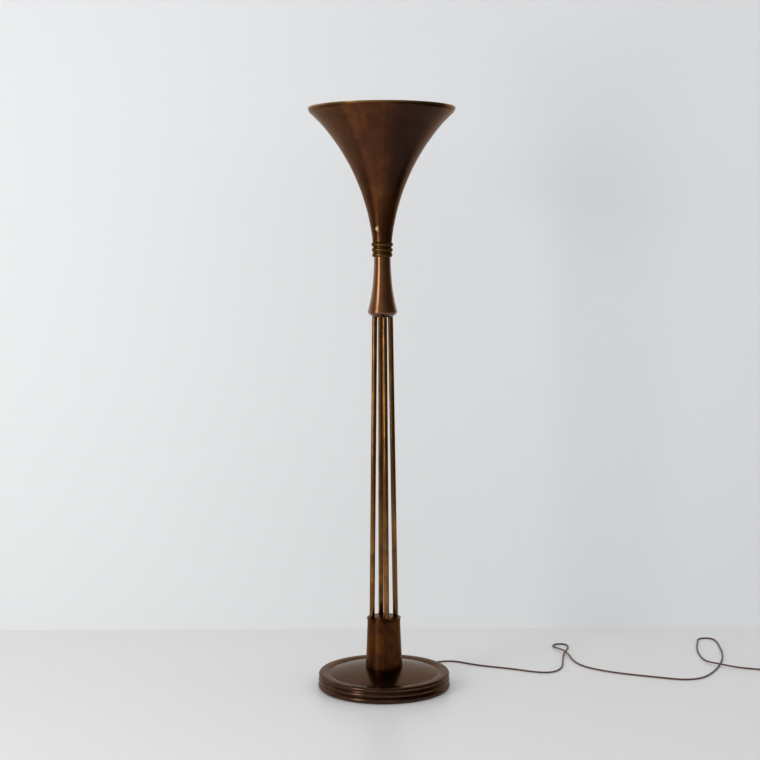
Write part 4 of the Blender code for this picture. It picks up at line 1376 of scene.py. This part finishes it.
# ---- base ---------------------------------------------------------------------------------------
@dataclass
class Base(SubAssembly):
    """The weighted base: a spun cover of dome, rounded band and three beads over an iron weight."""

    bead_radius: float = 7.6
    bead_reach: tuple[float, float, float] = (195.6, 194.6, 194.0)
    bead_turn: float = 63.0  # how far round each bead goes before the groove
    bolt_hole: float = 5.4
    dome_flat: float = 58.0
    dome_edge: tuple[float, float] = (161.0, 43.8)
    dome_slope: float = 0.35
    inner_radius: float = 184.3
    wall: float = 1.5

    def cover_section(self) -> Line:
        """The cover's closed section, from the bolt hole over the dome and down the beads."""
        bottom, top = low("base_cover"), high("base_cover")
        line: Line = [(self.bolt_hole, top), (self.dome_flat - 8, top), (self.dome_flat, top - 0.05)]
        edge_radius, edge_height = self.dome_edge
        for i in range(1, 25):
            share = i / 24
            fall = self.dome_slope * share + (1 - self.dome_slope) * share**2
            line.append(
                (self.dome_flat + share * (edge_radius - self.dome_flat), top - (top - edge_height) * fall)
            )
        band_top = bottom + 6 * self.bead_radius
        shoulder = self.bead_reach[2] - self.bead_radius
        line += smooth_line(
            (
                (edge_radius + 0.3, edge_height - 0.1),
                (edge_radius + 3.0, edge_height + 0.9),
                (edge_radius + 8.0, band_top - 0.8),
                (edge_radius + 15.0, band_top),
                (shoulder, band_top),
            ),
            5,
        )
        turns = ((self.bead_turn, -90.0), (self.bead_turn, -self.bead_turn), (88.0, -self.bead_turn))
        for index in (2, 1, 0):
            middle = (
                self.bead_reach[index] - self.bead_radius, bottom + (2 * index + 1) * self.bead_radius
            )
            line += arc(middle, (self.bead_radius, self.bead_radius), *turns[index], 16)
        line += [(self.inner_radius, bottom), (self.inner_radius, band_top - 4 * self.wall)]
        line += [(edge_radius, edge_height - 2 * self.wall), (self.dome_flat + 40, top - 4 * self.wall)]
        return [*line, (self.dome_flat, top - self.wall), (self.bolt_hole, top - self.wall)]

    def build_screws(self) -> None:
        """The three slotted screws that hold the bottom plate, one item repeated round the base."""
        foot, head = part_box("plate_screw_3")
        circle = -(foot.y + head.y) / 2 / MM
        radius = (head.x - foot.x) / 2 / MM
        bottom, shank = foot.z / MM, 2.0
        under_head = low("bottom_plate") - 0.3
        section = [(0.0, head.z / MM), (shank, head.z / MM), (shank, under_head), (radius, under_head)]
        section += [
            *arc((radius * 0.2, under_head), (radius * 0.8, under_head - bottom), -4, -86, 8), (0.0, bottom)
        ]
        screw = self.shop.lathe.turn("screw_blank", section, self.shop.finishes.steel, 32, closed=False)
        screw.transform(Matrix.Translation((circle * MM, 0, 0)))
        saw = block((circle, 0.0, bottom), (1.1, 14.0, 2.0))
        slotted = cut_out("screw_blank", screw, saw)
        mesh = self.shop.ring.repeat("plate_screws", slotted, self.shop.finishes.steel, 3, 30.0)
        settle("plate_screws", mesh, ["plate_screw_1", "plate_screw_2", "plate_screw_3"])

    def build(self) -> None:
        """Makes the cover, the felt, the bottom plate and its screws."""
        finishes = self.shop.finishes
        self.shop.turned(
            "base_cover_spun", self.cover_section(), finishes.base, Slot.BASE_BRASS, ["base_cover"], 192
        )
        inner, outer, top = 140.0, 178.0, high("floor_felt_ring")
        felt = [*arc((outer - 0.8, top - 0.8), (0.8, 0.8), 90, 0, 4), (outer, 0.0), (inner, 0.0)]
        felt += arc((inner + 0.8, top - 0.8), (-0.8, 0.8), 0, 90, 4)
        self.shop.turned("base_felt", felt, finishes.felt, Slot.FELT, ["floor_felt_ring"], 144)
        plate_low, plate_high = low("bottom_plate"), high("bottom_plate")
        plate = [
            (0.0, plate_high),
            (177.7, plate_high),
            (178.0, plate_high - 0.3),
            (178.0, plate_low),
            (0.0, plate_low),
        ]
        self.shop.turned(
            "base_bottom_plate", plate, finishes.steel, Slot.STEEL, ["bottom_plate"], 144, closed=False
        )
        self.build_screws()


# ---- stem ---------------------------------------------------------------------------------------
@dataclass
class Stem(SubAssembly):
    """Cup, rod plates and the four drawn rods that lean in towards the neck."""

    cup_line: tuple[tuple[float, float], ...] = (
        (48.7, 192.0), (50.3, 150.0), (52.2, 105.0), (54.0, 76.0), (54.8, 60.3)
    )
    cup_wall: float = 1.5
    lower_register: float = 46.8
    upper_register: float = 28.4
    upper_lip: float = 2.4
    plate_under: float = 203.9
    register_foot: float = 198.0
    spigot_radius: float = 10.0
    spigot_foot: float = 180.0
    rod_radius: float = 7.7  # 0.6 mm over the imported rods'
    rod_bore: float = 5.6
    circle_low: float = 35.6
    circle_high: float = 23.6
    first_rod: float = 13.3

    def build_cup(self) -> None:
        """The cup on the base, with a rolled edge at its top and a plain foot."""
        top, (foot_radius, foot) = high("stem_cup"), self.cup_line[-1]
        radius = self.cup_line[0][0]
        line = [*arc((radius - 0.9, top - 0.9), (0.9, 0.9), 90, 0, 5), *smooth_line(self.cup_line[:-1], 6)]
        line += [(foot_radius, foot + 0.4), (foot_radius - 0.3, foot)]
        self.shop.turned(
            "stem_cup_turned",
            walled(line, self.cup_wall),
            self.shop.finishes.cup,
            Slot.DARK_BRASS,
            ["stem_cup"],
            144,
        )

    def build_plates(self) -> None:
        """The plate on the cup, with a half-round rim, and the thin one under the neck."""
        top, bottom = high("lower_rod_plate"), self.plate_under
        bead = (top - bottom) / 2
        radius = reach_of("lower_rod_plate")
        line = [(0.0, top), (radius - 6.0, top), (radius - 5.4, top - 0.35), (radius - 3.4, top - 0.35)]
        line += [
            *arc((radius - bead, top - bead), (bead, bead), 100, -90, 14), (self.lower_register, bottom)
        ]
        spigot, foot = self.spigot_radius, self.register_foot
        line += [
            (self.lower_register, foot), (spigot, foot), (spigot, self.spigot_foot), (0.0, self.spigot_foot)
        ]
        self.shop.turned(
            "lower_rod_plate_turned",
            line,
            self.shop.finishes.cup,
            Slot.DARK_BRASS,
            ["lower_rod_plate"],
            144,
            closed=False,
        )
        bottom, top = low("upper_rod_plate"), high("upper_rod_plate")
        radius, lip = reach_of("upper_rod_plate"), bottom + self.upper_lip
        line = [(0.0, top), (self.upper_register, top), (self.upper_register, lip)]
        line += [
            *arc((radius - 1.2, (bottom + lip) / 2), (1.2, self.upper_lip / 2), 90, -90, 8), (0.0, bottom)
        ]
        self.shop.turned(
            "upper_rod_plate_turned",
            line,
            self.shop.finishes.gold,
            Slot.GOLD_BRASS,
            ["upper_rod_plate"],
            96,
            closed=False,
        )

    def build_rods(self) -> None:
        """One leaning tube at the +X side, repeated four times round the stem."""
        bottom, top = low("rod_left"), high("rod_left")
        foot, head = Vector((self.circle_low, 0, bottom)) * MM, Vector((self.circle_high, 0, top)) * MM
        length = (head - foot).length / MM
        line = [(self.rod_bore, length), *arc((self.rod_radius - 0.4, length - 0.4), (0.4, 0.4), 90, 0, 3)]
        line += [*arc((self.rod_radius - 0.4, 0.5), (0.4, 0.4), 0, -90, 3), (self.rod_bore, 0.1)]
        rod = self.shop.lathe.turn("rod_blank", line, self.shop.finishes.rods, 40)
        lean = (head - foot).to_track_quat("Z", "Y").to_matrix().to_4x4()
        rod.transform(Matrix.Translation(foot) @ lean)
        mesh = self.shop.ring.repeat("stem_rods", rod, self.shop.finishes.rods, 4, self.first_rod)
        settle("stem_rods", mesh, ["rod_left", "rod_right", "rod_front", "rod_back"])

    def build(self) -> None:
        """Makes the cup, the plates and the rods."""
        self.build_cup()
        self.build_plates()
        self.build_rods()


# ---- head ---------------------------------------------------------------------------------------
@dataclass
class Head(SubAssembly):
    """Neck, beaded collar and the trumpet shade, with the pipe and disc that clamp them."""

    neck_line: tuple[tuple[float, float], ...] = (
        (24.3, 1270.8),
        (24.6, 1250.0),
        (26.1, 1221.0),
        (28.6, 1190.0),
        (32.2, 1163.0),
        (36.6, 1139.5),
        (41.2, 1120.0),
        (43.3, 1111.5),
    )
    neck_wall: float = 1.2
    collar_beads: tuple[tuple[float, float], ...] = ((1307.0, 31.6), (1291.5, 30.6), (1276.9, 29.4))
    collar_groove: float = 26.0
    collar_bead_half: float = 6.0
    collar_bore: float = 20.0
    shade_line: tuple[tuple[float, float], ...] = (
        (212.6, 1696.4),
        (209.3, 1688.3),
        (203.6, 1682.5),
        (191.8, 1671.0),
        (175.0, 1654.0),
        (156.0, 1631.0),
        (138.9, 1608.0),
        (122.7, 1585.0),
        (108.8, 1562.0),
        (95.8, 1539.0),
        (84.3, 1516.0),
        (73.9, 1493.0),
        (64.6, 1470.0),
        (56.4, 1447.0),
        (49.4, 1424.0),
        (42.9, 1401.0),
        (37.8, 1378.0),
        (33.3, 1355.0),
        (29.8, 1332.0),
        (28.6, 1320.0),
        (28.4, 1315.0),
    )
    shade_wall: float = 1.2
    shade_hole: float = 20.0
    rim_roll: float = 1.3

    def build_neck(self) -> None:
        """The flared neck, its foot rounded under to sit on the plate."""
        foot = low("neck_column")
        line = smooth_line(self.neck_line, 6)
        line += smooth_line(((42.7, 1109.2), (39.2, 1104.6), (35.0, 1101.2), (31.0, foot)), 4)
        self.shop.turned(
            "neck_flared",
            walled(line, self.neck_wall),
            self.shop.finishes.gold,
            Slot.GOLD_BRASS,
            ["neck_column"],
            144,
        )

    def build_collar(self) -> None:
        """The collar: three half-round beads, with a fine raised line in each groove."""
        top, bottom = high("collar_ring") + 0.4, low("collar_ring")
        line: Line = [(self.collar_bore, top), (27.6, top)]
        groove = self.collar_groove
        for index, (middle, reach) in enumerate(self.collar_beads):
            line += arc((groove, middle), (reach - groove, self.collar_bead_half), 84, -84, 18)
            if index < 2:
                gap = (middle + self.collar_beads[index + 1][0]) / 2
                line += [
                    (groove, gap + 0.9),
                    (groove + 1.3, gap + 0.7),
                    (groove + 1.3, gap - 0.7),
                    (groove, gap - 0.9),
                ]
        line += [(groove - 0.6, bottom), (self.collar_bore, bottom)]
        self.shop.turned(
            "collar_beaded", line, self.shop.finishes.collar, Slot.GOLD_BRASS, ["collar_ring"], 144
        )

    def build_shade(self, switch: Matrix, bush_radius: float) -> None:
        """The spun shade, with a rolled rim and a hole for the switch's bush.

        Args:
            switch: The switch's own frame, on the shade's wall.
            bush_radius: The bush's radius in millimetres.
        """
        top, seat = high("shade"), low("shade")
        roll = self.rim_roll
        rim = (self.shade_line[0][0] - roll + 1.0, top - roll)
        line = [*arc(rim, (roll, roll), 150, -20, 12), *smooth_line(self.shade_line, 5)]
        line += [(27.8, seat), (self.shade_hole, seat)]
        mesh = self.shop.lathe.turn(
            "shade_blank", walled(line, self.shade_wall), self.shop.finishes.shade, 192
        )
        drill = bmesh.new()
        radius = (bush_radius + 0.4) * MM
        bmesh.ops.create_cone(
            drill, cap_ends=True, segments=40, radius1=radius, radius2=radius, depth=12 * MM, matrix=switch
        )
        drilled = cut_out("shade_blank", mesh, drill)
        settle("shade_spun", clean(drilled), ["shade"])

    def build_clamp(self) -> None:
        """The threaded pipe up the middle and the disc that clamps the shade."""
        bottom, top = low("centre_pipe"), high("centre_pipe")
        radius, bore, pitch = reach_of("centre_pipe"), 3.8, 1.4
        line = [(bore, top), (radius - 0.5, top)]
        thread_top = int((top - 1300.0) / pitch)
        for i in range(thread_top):
            crest = top - 0.4 - i * pitch
            line += [(radius, crest), (radius - 0.45, crest - pitch / 2)]
        line += [(radius, 1299.0), (radius, bottom), (bore, bottom)]
        self.shop.turned(
            "centre_pipe_threaded", line, self.shop.finishes.steel, Slot.STEEL, ["centre_pipe"], 40
        )
        bottom, top = low("shade_clamp_disc"), high("shade_clamp_disc")
        radius = reach_of("shade_clamp_disc")
        line = [
            (5.35, top),
            *arc((radius - 0.5, top - 0.5), (0.5, 0.5), 90, 0, 4),
            (radius, bottom),
            (5.35, bottom),
        ]
        self.shop.turned(
            "shade_clamp_disc_turned", line, self.shop.finishes.steel, Slot.STEEL, ["shade_clamp_disc"], 96
        )

    def build(self, switch: "Switch") -> None:
        """Makes the neck, the collar, the shade and what clamps them.

        Args:
            switch: The switch that the shade is drilled for.
        """
        self.build_neck()
        self.build_collar()
        self.build_shade(switch.stand(), switch.bush_radius)
        self.build_clamp()


# ---- switch -------------------------------------------------------------------------------------
@dataclass
class Switch(SubAssembly):
    """The push-button switch in the shade's neck: coin-edged ring nut and domed button."""

    azimuth: float = 246.3
    height: float = 1352.3
    face_radius: float = 33.0
    tilt: float = 9.9
    bush_radius: float = 4.2
    nut_radius: float = 7.1
    nut_low: float = 0.35
    nut_high: float = 3.3
    recess: float = 4.5
    button_radius: float = 2.8
    button_out: float = 4.6
    button_in: float = -6.0
    teeth: int = 36

    def stand(self) -> Matrix:
        """The switch's own frame: its Z axis leaves the shade square to the wall, its zero on the wall."""
        tilt = math.radians(self.tilt)
        outward = toward(self.azimuth) * math.cos(tilt) - Vector((0, 0, math.sin(tilt)))
        face = toward(self.azimuth) * self.face_radius
        place = Matrix.Translation((face + Vector((0, 0, self.height))) * MM)
        return place @ outward.to_track_quat("Z", "Y").to_matrix().to_4x4()

    def build(self) -> None:
        """Makes the ring nut with its coin edge, and the button, which rides on its own body."""
        finishes, stand = self.shop.finishes, self.stand()
        root = self.nut_radius - 0.35
        crown = (self.recess + root) / 2
        line = [*arc((crown, 2.4), (crown - self.recess, self.nut_high - 2.4), 180, 0, 12)]
        line += [(root, self.nut_low), (self.recess, self.nut_low)]
        nut = self.shop.lathe.turn("nut_blank", line, finishes.bright, 72)
        tooth = mesh_of("tooth_blank", block((root, 0.0, 1.35), (0.7, 0.55, 1.8)))
        teeth = self.shop.ring.repeat("teeth", tooth, finishes.bright, self.teeth, 0.0)
        both = bmesh.new()
        both.from_mesh(nut)
        both.from_mesh(teeth)
        both.to_mesh(nut)
        both.free()
        nut.transform(stand)
        settle("switch_ring_nut_coined", nut, ["switch_ring_nut"])
        r, out = self.button_radius, self.button_out
        line = [
            (0.0, out),
            *arc((r * 0.45, out - 0.9), (r * 0.55, 0.9), 90, 0, 8),
            (r, self.button_in),
            (0.0, self.button_in),
        ]
        button = self.shop.lathe.turn("switch_button_domed", line, finishes.nickel, 48, closed=False)
        button.transform(stand)
        settle("switch_button_domed", button, ["switch_button"], Body.BUTTON)


# ---- lampholder ---------------------------------------------------------------------------------
@dataclass
class Lampholder(SubAssembly):
    """The bakelite lampholder on the pipe, and the pearl lamp in it."""

    radius: float = 20.0
    bore: float = 17.5
    lamp_radius: float = 30.0
    screw_radius: float = 13.2
    screw_pitch: float = 3.6

    def build(self) -> None:
        """Makes the cap, the ribbed shell, the lamp's screw cap and its glass."""
        finishes = self.shop.finishes
        bottom, top = low("lampholder_cap"), high("lampholder_cap")
        line = [(5.4, top), (self.radius - 0.5, top), (self.radius, top - 0.5), (self.radius, top - 7.0)]
        line += [
            *smooth_line(((self.radius - 0.4, top - 8.5), (16.8, bottom + 4.2), (14.0, bottom)), 5),
            (5.4, bottom),
        ]
        self.shop.turned(
            "lampholder_cap_moulded", line, finishes.bakelite, Slot.BAKELITE, ["lampholder_cap"], 72
        )
        bottom, top = low("lampholder_shell"), high("lampholder_shell")
        line = [(self.bore, top), *arc((self.radius - 0.9, top - 0.9), (0.9, 0.9), 90, 0, 5)]
        for i in range(5):
            groove = top - 6.0 - i * 3.2
            line += [(self.radius, groove + 0.7), (self.radius - 0.7, groove), (self.radius, groove - 0.7)]
        line += [(self.radius, bottom), (self.bore, bottom)]
        self.shop.turned(
            "lampholder_shell_moulded", line, finishes.bakelite, Slot.BAKELITE, ["lampholder_shell"], 72
        )
        bottom, top = low("lamp_screw_cap"), high("lamp_screw_cap")
        line = [(0.0, top), (self.screw_radius - 0.6, top)]
        for i in range(4):
            crest = top - 3.0 - i * self.screw_pitch
            line += arc((self.screw_radius - 0.8, crest), (0.8, self.screw_pitch / 2), 80, -80, 8)
        line += [(self.screw_radius - 1.0, bottom + 5.0), (6.0, bottom + 0.6), (4.0, bottom), (0.0, bottom)]
        self.shop.turned(
            "lamp_screw_cap_rolled",
            line,
            finishes.nickel,
            Slot.NICKEL,
            ["lamp_screw_cap"],
            72,
            closed=False,
        )
        bottom, top = low("lamp_glass"), high("lamp_glass")
        middle = top - self.lamp_radius
        line = arc((0.0, middle), (self.lamp_radius, self.lamp_radius), 90, -28, 30)
        neck = (
            line[-1], (20.5, bottom + 27.0), (15.6, bottom + 15.0), (13.4, bottom + 6.0), (13.0, bottom)
        )
        line += smooth_line(neck, 6)[1:]
        self.shop.turned(
            "lamp_glass_pearl", walled(line, 1.0), finishes.glass, Slot.GLASS, ["lamp_glass"], 96
        )


# ---- what stays as it was packed ----------------------------------------------------------------
def dress_frame(finishes: Finishes) -> None:
    """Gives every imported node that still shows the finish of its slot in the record.

    Args:
        finishes: The materials.
    """
    by_slot = {
        Slot.DARK_BRASS: finishes.cup,
        Slot.BASE_BRASS: finishes.base,
        Slot.GOLD_BRASS: finishes.gold,
        Slot.STEEL: finishes.steel,
        Slot.CAST_IRON: finishes.iron,
        Slot.FELT: finishes.felt,
        Slot.PORCELAIN: finishes.porcelain,
        Slot.BAKELITE: finishes.bakelite,
        Slot.NICKEL: finishes.nickel,
        Slot.GLASS: finishes.glass,
        Slot.BRAID: finishes.braid,
        Slot.RUBBER: finishes.rubber,
    }
    for name, node in sorted(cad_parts.items()):
        if node.hide_render:
            continue
        slot = Slot(node.data.materials[0].name)
        node.data.materials[0] = by_slot[slot]
        LOG.info("%s: packed node in %s", name, by_slot[slot].name)


def main() -> None:
    """Builds the studio and the lamp, piece by piece."""
    logging.basicConfig(level=logging.INFO, format="%(name)s %(message)s")
    studio = Studio()
    studio.place_camera()
    shop = Workshop()
    MainsCord(shop).build()
    Base(shop).build()
    Stem(shop).build()
    switch = Switch(shop)
    Head(shop).build(switch)
    switch.build()
    Lampholder(shop).build()
    dress_frame(shop.finishes)
    studio.build_room()
    studio.build_light()


if __name__ == "__main__":
    main()
